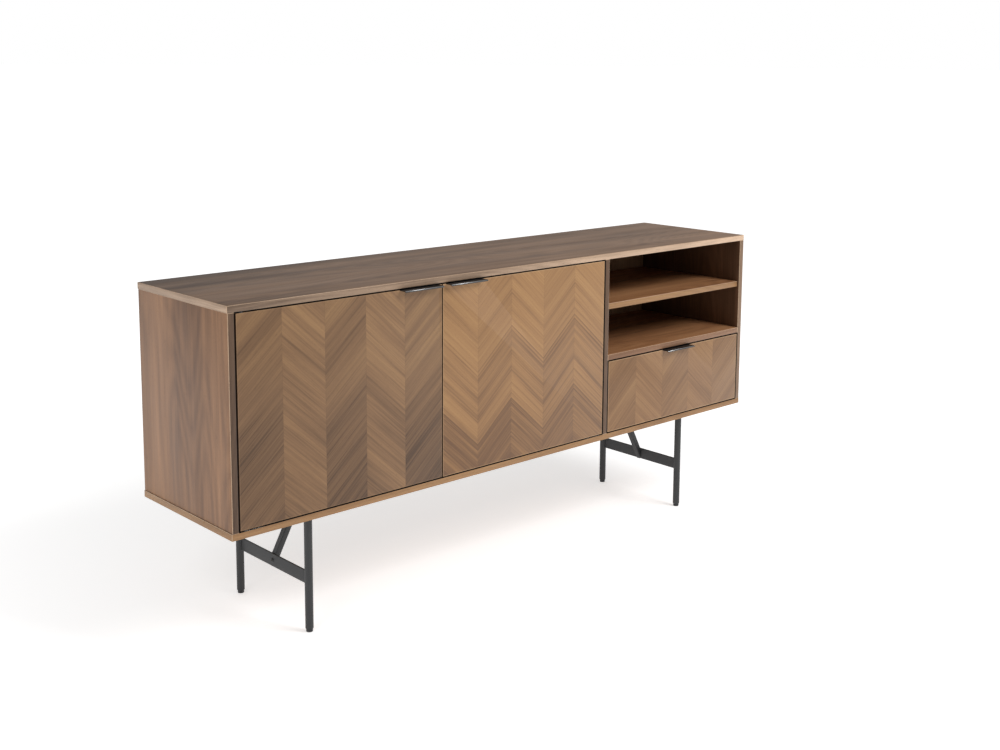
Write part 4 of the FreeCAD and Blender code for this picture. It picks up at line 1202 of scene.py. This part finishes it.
@dataclass
class Fasteners(Assembly):
    """Screws with domed or countersunk heads and cross recesses."""

    sides: int = 20
    head: float = 0.0032
    height: float = 0.0012
    shank: float = 0.0016
    leg_reach: float = 0.025
    strut_reach: float = 0.024
    pull_screw_from_end: float = 0.02
    runner_screw_from_end: float = 0.035
    hinge_shares: Pair = (0.36, 0.72)

    def screw(self, length: float, flat: bool = False) -> Piece:
        """A screw whose head seats at Z = 0, or whose face lies there if it is countersunk.

        Args:
            length: the shank's length, or the whole length of a countersunk one.
            flat: True for a countersunk one.

        Returns:
            The screw, at the origin.
        """
        head, height, shank = self.head, self.height, self.shank
        profile = [(shank * 0.15, -length), (shank, -length + 2 * shank)]
        if flat:
            profile += [(shank, -height - head + shank), (head * 0.97, -0.00015), (head, 0.0),
                        (head * 0.55, 0.00005)]
            top, depth = 0.0001, height * 0.7
        else:
            profile += [(shank, 0.0), (head, 0.0), (head, height * 0.35),
                        (head * 0.93, height * 0.66), (head * 0.74, height * 0.9),
                        (head * 0.45, height)]
            top, depth = height, height * 0.62
        reach, half = head * 0.55, head * 0.12
        screw = Piece.turned("screw", profile, self.sides)
        return screw.cut(*[Piece.block("bar", (-a, -b, top - depth), (a, b, top + depth))
                           for a, b in ((reach, half), (half, reach))])

    def lay(self, node: str, body: str, screw: Piece, spots: Iterable[tuple], dark: bool = False
            ) -> None:
        """Enters copies of a screw for a CAD node.

        Args:
            node: the CAD node.
            body: the body that they ride on.
            screw: the screw.
            spots: place, direction and turn of each copy.
            dark: True for black oxide, False for nickel.
        """
        material = self.finishes.oxide if dark else self.finishes.nickel
        item = screw.repeat(f"{node}_set", [aim(*spot) for spot in spots]).smooth(35)
        item.coat(material).enter(body, "dark_screws" if dark else "plated_steel", node)

    def frame_screws(self) -> None:
        """The screws of the legs' and the struts' plates."""
        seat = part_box("leg_plates")[0].z
        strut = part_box("strut_plates")[1].x - LegFrames.strut_plate[0] / 2
        rows = [(abs(leg.x), leg.y, self.leg_reach) for leg in map(middle_of, LEGS[:2])]
        rows.append((strut, middle_of("strut_plates").y, self.strut_reach))
        spots = [(side * x + step, y) for side in (-1, 1) for x, y, reach in rows
                 for step in (-reach, reach)]
        large = Fasteners(self.finishes, head=0.0044, height=0.0026, shank=0.0022)
        self.lay("leg_screws", "root", large.screw(length=0.015),
                 [((x, y, seat), DOWN, 0.4 * n) for n, (x, y) in enumerate(spots)], dark=True)

    def front_screws(self) -> None:
        """The screws of the pulls and of the drawer's front."""
        for node, pull, body in (("left_pull_screws", "left_door_pull", "left_door"),
                                 ("right_pull_screws", "right_door_pull", "right_door"),
                                 ("drawer_pull_screws", "drawer_pull", "drawer")):
            low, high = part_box(pull)
            xs = (low.x + self.pull_screw_from_end, high.x - self.pull_screw_from_end)
            self.lay(node, body, self.screw(length=0.0119), [
                ((x, high.y, middle_of(node).z), BACK, n) for n, x in enumerate(xs)], dark=True)
        low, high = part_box("drawer_front_screws")
        seat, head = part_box("drawer_inner_front")[1].y, self.head
        corners = [(x, z) for x in (low.x + head, high.x - head)
                   for z in (low.z + head, high.z - head)]
        self.lay("drawer_front_screws", "drawer", self.screw(length=0.022),
                 [((x, seat, z), BACK, 0.7 * n) for n, (x, z) in enumerate(corners)])

    def runner_screws(self) -> None:
        """The screws in the runners' cabinet and drawer members."""
        low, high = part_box("left_runner_cabinet_member")
        rows = (low.y + self.runner_screw_from_end, high.y - self.runner_screw_from_end)
        height = (low.z + high.z) / 2
        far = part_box("right_runner_cabinet_member")[1].x
        steel = Runners.steel
        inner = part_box("left_runner_drawer_member")[1].x - steel
        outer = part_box("right_runner_drawer_member")[0].x + steel
        self.lay("runner_cabinet_screws", "root", self.screw(length=0.0116, flat=True), [
            ((x, y, height), (way, 0, 0), y * 9)
            for x, way in ((low.x + steel, 1), (far - steel, -1)) for y in rows])
        self.lay("runner_drawer_screws", "drawer", self.screw(length=0.0114), [
            ((x, y, height), (way, 0, 0), y * 7)
            for x, way in ((inner, -1), (outer, 1)) for y in rows])

    def hinge_and_catch_screws(self) -> None:
        """The flush screws of the hinge plates and the screws in the catches."""
        low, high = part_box("hinge_plates")
        plate = HingePlate()
        faces = ((low.z + plate.thickness, 1), (high.z - plate.thickness, -1))
        steps = [(plate.short + plate.long) * share for share in self.hinge_shares]
        xs = [middle_of("left_door_bushes").x + step for step in steps]
        xs += [middle_of("right_door_bushes").x - step for step in steps]
        row = middle_of("hinge_plates").y
        self.lay("hinge_screws", "root", self.screw(length=0.0119, flat=True), [
            ((x, row, z), (0, 0, way), x * 5) for x in xs for z, way in faces])
        low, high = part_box("door_catches")
        half, floor = DoorHardware.catch_half, DoorHardware.catch_floor
        self.lay("catch_screws", "root", self.screw(length=0.0134), [
            ((x, (low.y + high.y) / 2, low.z + floor), UP) for x in (low.x + half, high.x - half)])

    def build(self) -> None:
        """Makes and enters every screw."""
        self.frame_screws()
        self.front_screws()
        self.runner_screws()
        self.hinge_and_catch_screws()


@dataclass
class EdgePulls(Assembly):
    """Bent steel pulls let into the top edges of the fronts, with a bright rim along the lip, a
    painted glint.
    """

    sheet: float = 0.0015
    lip: float = 0.0035
    bend: float = 0.0018
    corner: float = 0.0012
    arris: float = 0.0002
    # the height of the painted glint along the lip's top
    rim: float = 0.0014

    def pull(self, node: str, body: str) -> None:
        """One pull: a lip in front, a plate on top and a flange behind.

        Args:
            node: the CAD node.
            body: the body that it rides on.
        """
        low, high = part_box(node)
        lip = high.z - self.lip
        line = [(low.y, lip), (low.y, high.z), (high.y, high.z), (high.y, low.z)]
        item = Piece.folded(f"{node}_bent", line, low.x, high.x, self.sheet, self.bend, 5)

        def end_corner(a: Vector, b: Vector) -> bool:
            """True for the short edges at the sheet's four outer corners."""
            flat = abs(a.x - b.x) < 1e-6 and abs(a.z - b.z) < 1e-6
            return flat and (a.z < lip + TINY and a.y < low.y + 0.01 or a.z < low.z + TINY)
        item.bevel(self.corner, 4, end_corner).soften(self.arris, 1, 50).smooth(45)
        item.coat(self.finishes.black, self.finishes.painted_glint_metal)
        # painted glint: bright metal on the front of the bend and the lip's top
        item.paint(lambda face: face.center.y < low.y + self.bend and face.normal.y < -0.3
                   and face.center.z > high.z - self.rim)
        item.enter(body, "pull_metal", node)

    def build(self) -> None:
        """Makes and enters the three pulls."""
        for body in ("left_door", "right_door", "drawer"):
            self.pull(f"{body}_pull", body)


@dataclass
class LegFrames(Assembly):
    """Round legs, flat crossbars with weld beads, slanting struts, plates, bolts and glides."""

    rod: float = 0.009
    foot_round: float = 0.0015
    bead: float = 0.0016
    bead_step: float = 0.0024
    bead_proud: float = 0.0002
    bead_from_edge: float = 0.001
    bar_round: float = 0.0009
    tube: float = 0.015
    tube_round: float = 0.0022
    tube_spare: float = 0.03
    lean: float = math.radians(28)
    plate_round: float = 0.0005
    plate_corner: float = 0.006
    felt_top: float = 0.00145
    leg_plate: Pair = (0.07, 0.046)
    strut_plate: Pair = (0.064, 0.024)

    def metal(self, item: Piece, node: str, angle: float = 35) -> None:
        """Enters a powder coated piece, smooth except over edges sharper than an angle."""
        item.smooth(angle).coat(self.finishes.anthracite).enter("root", "frame_metal", node)

    def legs(self) -> None:
        """The four legs, each with a rounded foot and a weld at its plate."""
        low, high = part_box(LEGS[0])
        r, e = self.rod, self.foot_round
        foot = [(r - e + e * math.sin(a), low.z + e - e * math.cos(a))
                for a in map(math.radians, (0, 22, 45, 67, 90))]
        weld = [(r + out, high.z - down) for out, down in (
            (0.0, 0.0034), (0.0005, 0.003), (0.0010, 0.0018), (0.0020, 0.0008), (0.0026, 0.0))]
        master = Piece.turned("leg", foot + weld, 40)
        for node in LEGS:
            x, y, _ = middle_of(node)
            self.metal(master.copy(Matrix.Translation((x, y, 0))).named(f"{node}_rod"), node)
        master.drop()

    def weld(self, length: float) -> Piece:
        """A ribbed weld bead along Z, from the origin.

        Args:
            length: its length.

        Returns:
            The bead.
        """
        steps = max(3, round(length / self.bead_step))
        profile = []
        for n in range(steps):
            z = n * length / steps
            profile += [(self.bead * 0.82, z), (self.bead, z + 0.5 * length / steps)]
        return Piece.turned("weld_bead", profile + [(self.bead * 0.6, length)], 10)

    def crossbars(self) -> None:
        """The flat bars between the legs, welded to them."""
        for node in ("left_crossbar", "right_crossbar"):
            low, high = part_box(node)
            bar = Piece.block(f"{node}_bar", low, high).bevel(self.bar_round, 3)
            out, edge = self.bead_proud, self.bead_from_edge
            ends = [Matrix.Translation((x, y, low.z + edge)) for x in (low.x - out, high.x + out)
                    for y in (low.y - out, high.y + out)]
            beads = self.weld(high.z - low.z - 2 * edge).repeat(f"{node}_welds", ends)
            self.metal(bar.join(f"{node}_bar", beads), node)

    def struts(self) -> None:
        """The slanting square tubes, cut to the bar and the plate."""
        start, half = middle_of("left_crossbar").z, self.tube / 2
        for node, side in (("left_strut", 1), ("right_strut", -1)):
            low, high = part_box(node)
            face = low.x if side > 0 else high.x
            length = (high.z - start) / math.cos(self.lean) + self.tube_spare
            tube = Piece.block(f"{node}_tube", (-half, -half, -self.tube_spare),
                               (half, half, length)).bevel(self.tube_round, 4, runs(Grain.Z, 0.02))
            tube.move(Matrix.Translation((face, middle_of(node).y, start))
                      @ Matrix.Rotation(side * self.lean, 4, "Y"))
            tube.split((face, 0, 0), (-side, 0, 0), clear=True)
            tube.split((0, 0, high.z), UP, clear=True)
            self.metal(tube, node)

    def bolts(self) -> None:
        """The strut bolts: domed heads with hexagon sockets on thin washers."""
        bolt = Piece.turned("strut_bolt", [
            (0.0052, 0.0), (0.0052, 0.0004), (0.0040, 0.0004), (0.0040, 0.0009),
            (0.0038, 0.0015), (0.0033, 0.0020), (0.0025, 0.0024)], 28)
        bolt.cut(Piece.add("hexagon", bpy.ops.mesh.primitive_cylinder_add, vertices=6,
                           radius=0.0017, depth=0.003, location=(0, 0, 0.0024)))
        _, y, z = middle_of("left_crossbar")
        reach = abs(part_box("left_crossbar")[0].x)
        item = bolt.repeat("strut_bolt_heads", [aim((side * reach, y, z), (side, 0, 0), 0.3)
                                                for side in (-1, 1)])
        item.smooth(35).coat(self.finishes.black).enter("root", "dark_screws", "strut_bolts")

    def plates(self) -> None:
        """The plates under the bottom panel."""
        low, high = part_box("leg_plates")
        thickness = high.z - low.z
        low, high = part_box("strut_plates")
        reach, row = high.x - self.strut_plate[0] / 2, (low.y + high.y) / 2
        for node, (length, width), spots in (
                ("leg_plates", self.leg_plate, [middle_of(leg).xy for leg in LEGS]),
                ("strut_plates", self.strut_plate, [(-reach, row), (reach, row)])):
            plate = Piece.block("plate", (-length / 2, -width / 2, 0),
                                (length / 2, width / 2, thickness))
            plate.bevel(self.plate_corner, 1, runs(Grain.Z, thickness / 2))
            places = [Matrix.Translation((x, y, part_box(node)[0].z)) for x, y in spots]
            self.metal(plate.soften(self.plate_round).repeat(f"{node}_set", places), node, 30)

    def glides(self) -> None:
        """The round glides with felt faces under the legs."""
        glide = Piece.turned("glide", [
            (0.0066, 0.0), (0.0072, 0.0003), (0.0072, 0.0014), (0.0075, 0.0015), (0.0075, 0.0062),
            (0.0071, 0.0070), (0.003, 0.0070), (0.003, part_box("foot_glides")[1].z)], 28)
        glide.coat(self.finishes.nylon, self.finishes.felt)
        glide.paint(lambda face: face.center.z < self.felt_top)
        spots = [middle_of(leg).xy for leg in LEGS]
        item = glide.repeat("foot_glides_set", [Matrix.Translation((x, y, 0)) for x, y in spots])
        item.smooth(35).enter("root", "plastic", "foot_glides")

    def build(self) -> None:
        """Makes and enters both leg frames."""
        self.legs()
        self.crossbars()
        self.struts()
        self.bolts()
        self.plates()
        self.glides()


@dataclass
class DoorHardware(Assembly):
    """Hinge plates with pins, bushes, magnetic catches and strike plates."""

    pin: float = 0.0025
    pin_play: float = 0.00006
    rim: float = 0.0055
    barrel: float = 0.004
    barrel_length: float = 0.0104
    catch_half: float = 0.019
    catch_floor: float = 0.003
    catch_round: float = 0.0012
    catch_rim: float = 0.0014
    catch_sink: float = 0.0008
    well: float = 0.0042
    pole: Point = (0.0155, 0.005, 0.0008)
    pole_inset: float = 0.0032
    magnet: Pair = (0.0145, 0.0042)
    insert_round: float = 0.0003
    strike_corner: float = 0.002
    arris: float = 0.0002

    def hinge_plates(self) -> None:
        """Four plates let into the top and bottom panels."""
        r = self.pin
        pin = Piece.turned("hinge_pin", [(r + 0.0006, -0.0002), (r, 0.0004), (r, 0.0085),
                                         (r - 0.0003, 0.0092), (r - 0.001, 0.0095)])
        plate = HingePlate().shape("hinge_plate").soften(self.arris, 1).join("hinge_plate", pin)
        item = plate.repeat("hinge_plates_set", HingePlate.places()).smooth(35)
        item.coat(self.finishes.nickel).enter("root", "plated_steel", "hinge_plates")

    def bushes(self) -> None:
        """The nylon bushes in the doors' ends."""
        for body in ("left_door", "right_door"):
            node = f"{body}_bushes"
            x, row, _ = middle_of(node)
            bottom, top = (corner.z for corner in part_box(body))
            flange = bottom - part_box(node)[0].z
            hole, rim, barrel = self.pin + self.pin_play, self.rim, self.barrel
            bush = Piece.turned("bush", [
                (hole, -self.barrel_length), (barrel, -self.barrel_length), (barrel, 0.0),
                (rim, 0.0), (rim, flange - 0.0004), (rim - 0.0004, flange), (hole, flange)],
                28, hollow=True)
            item = bush.repeat(f"{node}_set", [aim((x, row, top)), aim((x, row, bottom), DOWN)])
            item.smooth(35).coat(self.finishes.nylon).enter(body, "plastic", node)

    def catches(self) -> None:
        """Magnetic catches: a housing with a screw well, a magnet and two steel poles."""
        low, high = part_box("door_catches")
        depth, height = high.y - low.y, high.z - low.z
        half, floor = self.catch_half, self.catch_floor
        catch = Piece.block("catch", (-half, 0, 0), (half, depth, height))
        catch.bevel(self.catch_round, 3)
        catch.edit(lambda: (bpy.ops.mesh.inset(thickness=self.catch_rim),
                            bpy.ops.mesh.inset(thickness=0.0, depth=-self.catch_sink)),
                   lambda middle, normal: normal.y < -0.99)
        catch.cut(Piece.add("well", bpy.ops.mesh.primitive_cylinder_add, vertices=28,
                            radius=self.well, depth=0.02, location=(0, depth / 2, floor + 0.01)))
        catch.coat(self.finishes.nylon)
        wide, deep, tall = self.pole
        inner = [Piece.block("pole", (-wide, 0.0001, z - tall), (wide, deep, z + tall))
                 .bevel(self.insert_round, 2).coat(self.finishes.zinc)
                 for z in (self.pole_inset, height - self.pole_inset)]
        wide, inset = self.magnet
        magnet = Piece.block("magnet", (-wide, 0.0006, inset), (wide, deep, height - inset))
        inner.append(magnet.bevel(self.insert_round, 2).coat(self.finishes.felt))
        item = catch.join("catch", *inner).repeat("door_catches_set", [
            Matrix.Translation((x, low.y, low.z)) for x in (low.x + half, high.x - half)])
        item.smooth(35).enter("root", "plastic", "door_catches")

    def strikes(self) -> None:
        """The strike plates on the doors' backs."""
        for side in ("left", "right"):
            node, body = f"{side}_strike_plate", f"{side}_door"
            low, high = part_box(node)
            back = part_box(body)[1].y
            plate = Piece.block(f"{node}_steel", (low.x, back, low.z), high)
            plate.bevel(self.strike_corner, 4, runs(Grain.Y, 0.0005)).soften(self.arris, 1)
            dimple = Piece.turned("dimple", [(0.0016, -0.006), (0.0016, 0.0002), (0.0028, 0.0010),
                                             (0.0026, 0.0012), (0.001, 0.0008)], 20)
            dimple.move(aim(((low.x + high.x) / 2, back, (low.z + high.z) / 2), BACK))
            item = plate.join(f"{node}_steel", dimple).smooth(35)
            item.coat(self.finishes.zinc).enter(body, "plated_steel", node)

    def build(self) -> None:
        """Makes and enters the doors' hardware."""
        self.hinge_plates()
        self.bushes()
        self.catches()
        self.strikes()


@dataclass
class ShelfPins(Assembly):
    """Steel pins with collars, four under each loose shelf."""

    radius: float = 0.0025
    reach: float = 0.008
    sink: float = 0.007
    collar: float = 0.0036
    collar_depth: float = 0.00045
    from_edge: float = 0.04

    def build(self) -> None:
        """Makes and enters the pins."""
        r, reach, collar, depth = self.radius, self.reach, self.collar, self.collar_depth
        pin = Piece.turned("pin", [
            (r * 0.8, -self.sink), (r, -self.sink + 0.0006), (r, 0.0), (collar, 0.0),
            (collar, depth), (r, depth), (r, reach - 0.0012), (r * 0.82, reach - 0.0003),
            (r * 0.4, reach)], 22)
        places = []
        for shelf, left, right in (("left_inner_shelf", "left_side_panel", "centre_partition"),
                                   ("right_inner_shelf", "centre_partition", "divider_panel"),
                                   ("niche_shelf", "divider_panel", "right_side_panel")):
            low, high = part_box(shelf)
            for y in (low.y + self.from_edge, high.y - self.from_edge):
                for x, way in ((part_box(left)[1].x, 1), (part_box(right)[0].x, -1)):
                    places.append(aim((x, y, low.z - r), (way, 0, 0)))
        item = pin.repeat("shelf_pins_set", places).smooth(35)
        item.coat(self.finishes.nickel).enter("root", "plated_steel", "shelf_pins")


@dataclass
class DrawerBox(Assembly):
    """The drawer's pale inner boards and its floor."""

    top_round: float = 0.0018
    arris: float = 0.0004
    clear: Point = (0.0, 0.001, 0.001)

    def board(self, node: str, grain: Grain, top_round: float, *rebates: str) -> None:
        """One board of the box.

        Args:
            node: the CAD node.
            grain: the grain of its faces.
            top_round: the rounding of its top edges.
            rebates: the boards that it is rebated for.
        """
        low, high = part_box(node)
        item = Piece.block(f"{node}_board", low, high)
        for other in rebates:
            start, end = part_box(other)
            item.cut(Piece.block("rebate", start - Vector(self.clear), end + Vector(self.clear)))
        if top_round:
            item.bevel(top_round, 3, lambda a, b: min(a.z, b.z) > high.z - TINY
                       and (a - b).length > 0.02)
        item.soften(self.arris, 1).smooth().coat(self.finishes.birch[grain.value])
        item.enter("drawer", "drawer_wood", node)

    def build(self) -> None:
        """Makes and enters the drawer's boards."""
        for side in ("left", "right"):
            self.board(f"drawer_{side}_side", Grain.Y, self.top_round, "drawer_inner_front",
                       "drawer_back")
        self.board("drawer_inner_front", Grain.X, self.top_round)
        self.board("drawer_back", Grain.X, self.top_round)
        self.board("drawer_bottom", Grain.X, 0.0)


@dataclass
class Runners(Assembly):
    """Three-part steel runners on both sides of the drawer."""

    steel: float = 0.0012
    lip: float = 0.0024
    bend: float = 0.0016
    slots: int = 3
    slot: Pair = (0.012, 0.004)
    slot_cut: float = 0.004
    stop: Point = (0.0014, 0.005, 0.006)

    def channel(self, node: str, lips: bool, opens: int) -> Piece:
        """A rolled channel that lies where a CAD node does.

        Args:
            node: the CAD node.
            lips: True where its mouth has lips.
            opens: 1 where its mouth faces right, -1 where it faces left.

        Returns:
            The piece, with slots in its web.
        """
        low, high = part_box(node)
        web, mouth = (low.x, high.x) if opens > 0 else (high.x, low.x)
        line = [(mouth, low.z), (web, low.z), (web, high.z), (mouth, high.z)]
        if lips:
            line = [(mouth, low.z + self.lip)] + line + [(mouth, high.z - self.lip)]
        item = Piece.folded(f"{node}_rail", [(-x, z) for x, z in line], low.y, high.y, self.steel,
                            self.bend, 3).move(Matrix.Rotation(math.radians(90), 4, "Z"))
        middle, half, tall = (low.z + high.z) / 2, self.slot[0] / 2, self.slot[1] / 2
        cutters = []
        for n in range(self.slots):
            y = low.y + (high.y - low.y) * (n + 1) / (self.slots + 1)
            cutters.append(Piece.block(
                "slot", (web - self.slot_cut, y - half, middle - tall),
                (web + self.slot_cut, y + half, middle + tall)))
            cutters[-1].bevel(self.slot[1] * 0.49, 4, runs(Grain.X, 0.001))
        return item.cut(*cutters).smooth(35).coat(self.finishes.zinc)

    def bumper(self, node: str, opens: int) -> Piece:
        """A small nylon stop inside the rear end of a channel.

        Args:
            node: the channel's CAD node.
            opens: 1 where its mouth faces right, -1 where it faces left.

        Returns:
            The stop.
        """
        low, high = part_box(node)
        web, (deep, long, half) = low.x if opens > 0 else high.x, self.stop
        near, far = sorted((web + opens * self.steel, web + opens * (self.steel + deep)))
        middle, end = (low.z + high.z) / 2, high.y - 0.001
        stop = Piece.block("stop", (near, end - long, middle - half), (far, end, middle + half))
        return stop.bevel(0.0004, 2).coat(self.finishes.nylon)

    def build(self) -> None:
        """Makes and enters the six members."""
        for side, opens in (("left", 1), ("right", -1)):
            for part, lips, faces, body in (("cabinet", True, opens, "root"),
                                            ("middle", True, opens, f"{side}_runner"),
                                            ("drawer", False, -opens, "drawer")):
                node = f"{side}_runner_{part}_member"
                item = self.channel(node, lips, faces)
                if part == "cabinet":
                    item.join(f"{node}_rail", self.bumper(node, opens))
                item.enter(body, "runner_steel", node)


@dataclass
class Studio:
    """The pale floor, the soft lights and the camera."""

    lens: float = 47.15
    sensor: float = 36
    clip: Pair = (0.05, 400)
    shift: float = -0.125
    place: Point = (-2.1315, -2.3944, 1.2291)
    forward: Point = (0.66811, 0.73014, -0.1433)
    right: Point = (0.73833, -0.67442, 0.00605)
    surround_light: float = 0.38
    surround_shown: float = 1.0

    def camera(self) -> None:
        """A camera at the photograph's place and angle."""
        data = bpy.data.cameras.new("photograph_camera")
        data.lens, data.sensor_width, data.shift_y = self.lens, self.sensor, self.shift
        data.clip_start, data.clip_end = self.clip
        camera = bpy.data.objects.new("photograph_camera", data)
        forward, right = Vector(self.forward).normalized(), Vector(self.right).normalized()
        up = right.cross(forward).normalized()
        axes = Matrix((right, up, -forward)).transposed().to_4x4()
        camera.matrix_world = Matrix.Translation(self.place) @ axes
        bpy.context.scene.collection.objects.link(camera)
        bpy.context.scene.camera = camera

    @staticmethod
    def lamp(name: str, place: Point, target: Point, size: Pair, power: float,
             only: Optional[Piece] = None) -> None:
        """A soft box.

        Args:
            name: its name.
            place: where it stands.
            target: what it points at.
            size: its width and height.
            power: its power.
            only: the one piece that it lights, if not all.
        """
        data = bpy.data.lights.new(name, "AREA")
        data.shape = "RECTANGLE"
        data.size, data.size_y = size
        data.energy = power
        lamp = bpy.data.objects.new(name, data)
        lamp.location = place
        lamp.rotation_mode = "QUATERNION"
        lamp.rotation_quaternion = (Vector(target) - Vector(place)).to_track_quat("-Z", "Y")
        bpy.context.scene.collection.objects.link(lamp)
        if only:
            group = bpy.data.collections.new(f"{name}_receivers")
            group.objects.link(only.item)
            lamp.light_linking.receiver_collection = group

    def surround(self) -> None:
        """White surroundings that light less than they show."""
        world = bpy.data.worlds.new("white_surround")
        sheet = NodeSheet(world)
        white = shade(255, 255, 255)
        lights, shows = [sheet.node("ShaderNodeBackground",
                                    sockets={"Color": white, "Strength": strength})
                         for strength in (self.surround_light, self.surround_shown)]
        seen = sheet.node("ShaderNodeLightPath", output="Is Camera Ray")
        both = sheet.node("ShaderNodeMixShader", sockets={0: seen, 1: lights, 2: shows})
        sheet.node("ShaderNodeOutputWorld", sockets={"Surface": both})
        bpy.context.scene.world = world

    def build(self) -> None:
        """Sets up the studio."""
        floor = Piece.add("studio_floor", bpy.ops.mesh.primitive_plane_add, size=400,
                          location=(0, 0, 0)).coat(StudioFloor("studio_floor").build())
        self.surround()
        self.lamp("key_light", (1.3, -3.2, 3.2), (0.2, 0, 0.4), (1.6, 1.6), 80)
        self.lamp("side_light", (-3.6, 1.0, 0.42), (-0.8, 0, 0.42), (1.6, 0.6), 17)
        self.lamp("floor_light", (2.4, -2.6, 3.2), (0, 0, 0), (1.2, 1.2), 28, floor)
        self.lamp("floor_fill", (-2.8, -1.0, 2.4), (-1.2, 0.4, 0), (1.2, 1.2), 20, floor)
        self.camera()
        view = bpy.context.scene.view_settings
        view.view_transform, view.look = "Standard", "None"


def main() -> None:
    """Builds the sideboard's sub-assemblies in order."""
    logging.basicConfig(level=logging.INFO, format="%(message)s")
    finishes = Finishes()
    for kind in (Boards, Fronts, EdgePulls, LegFrames, DoorHardware, ShelfPins, DrawerBox,
                 Runners, Fasteners):
        kind(finishes).build()
    Studio().build()


if __name__ == "__main__":
    main()
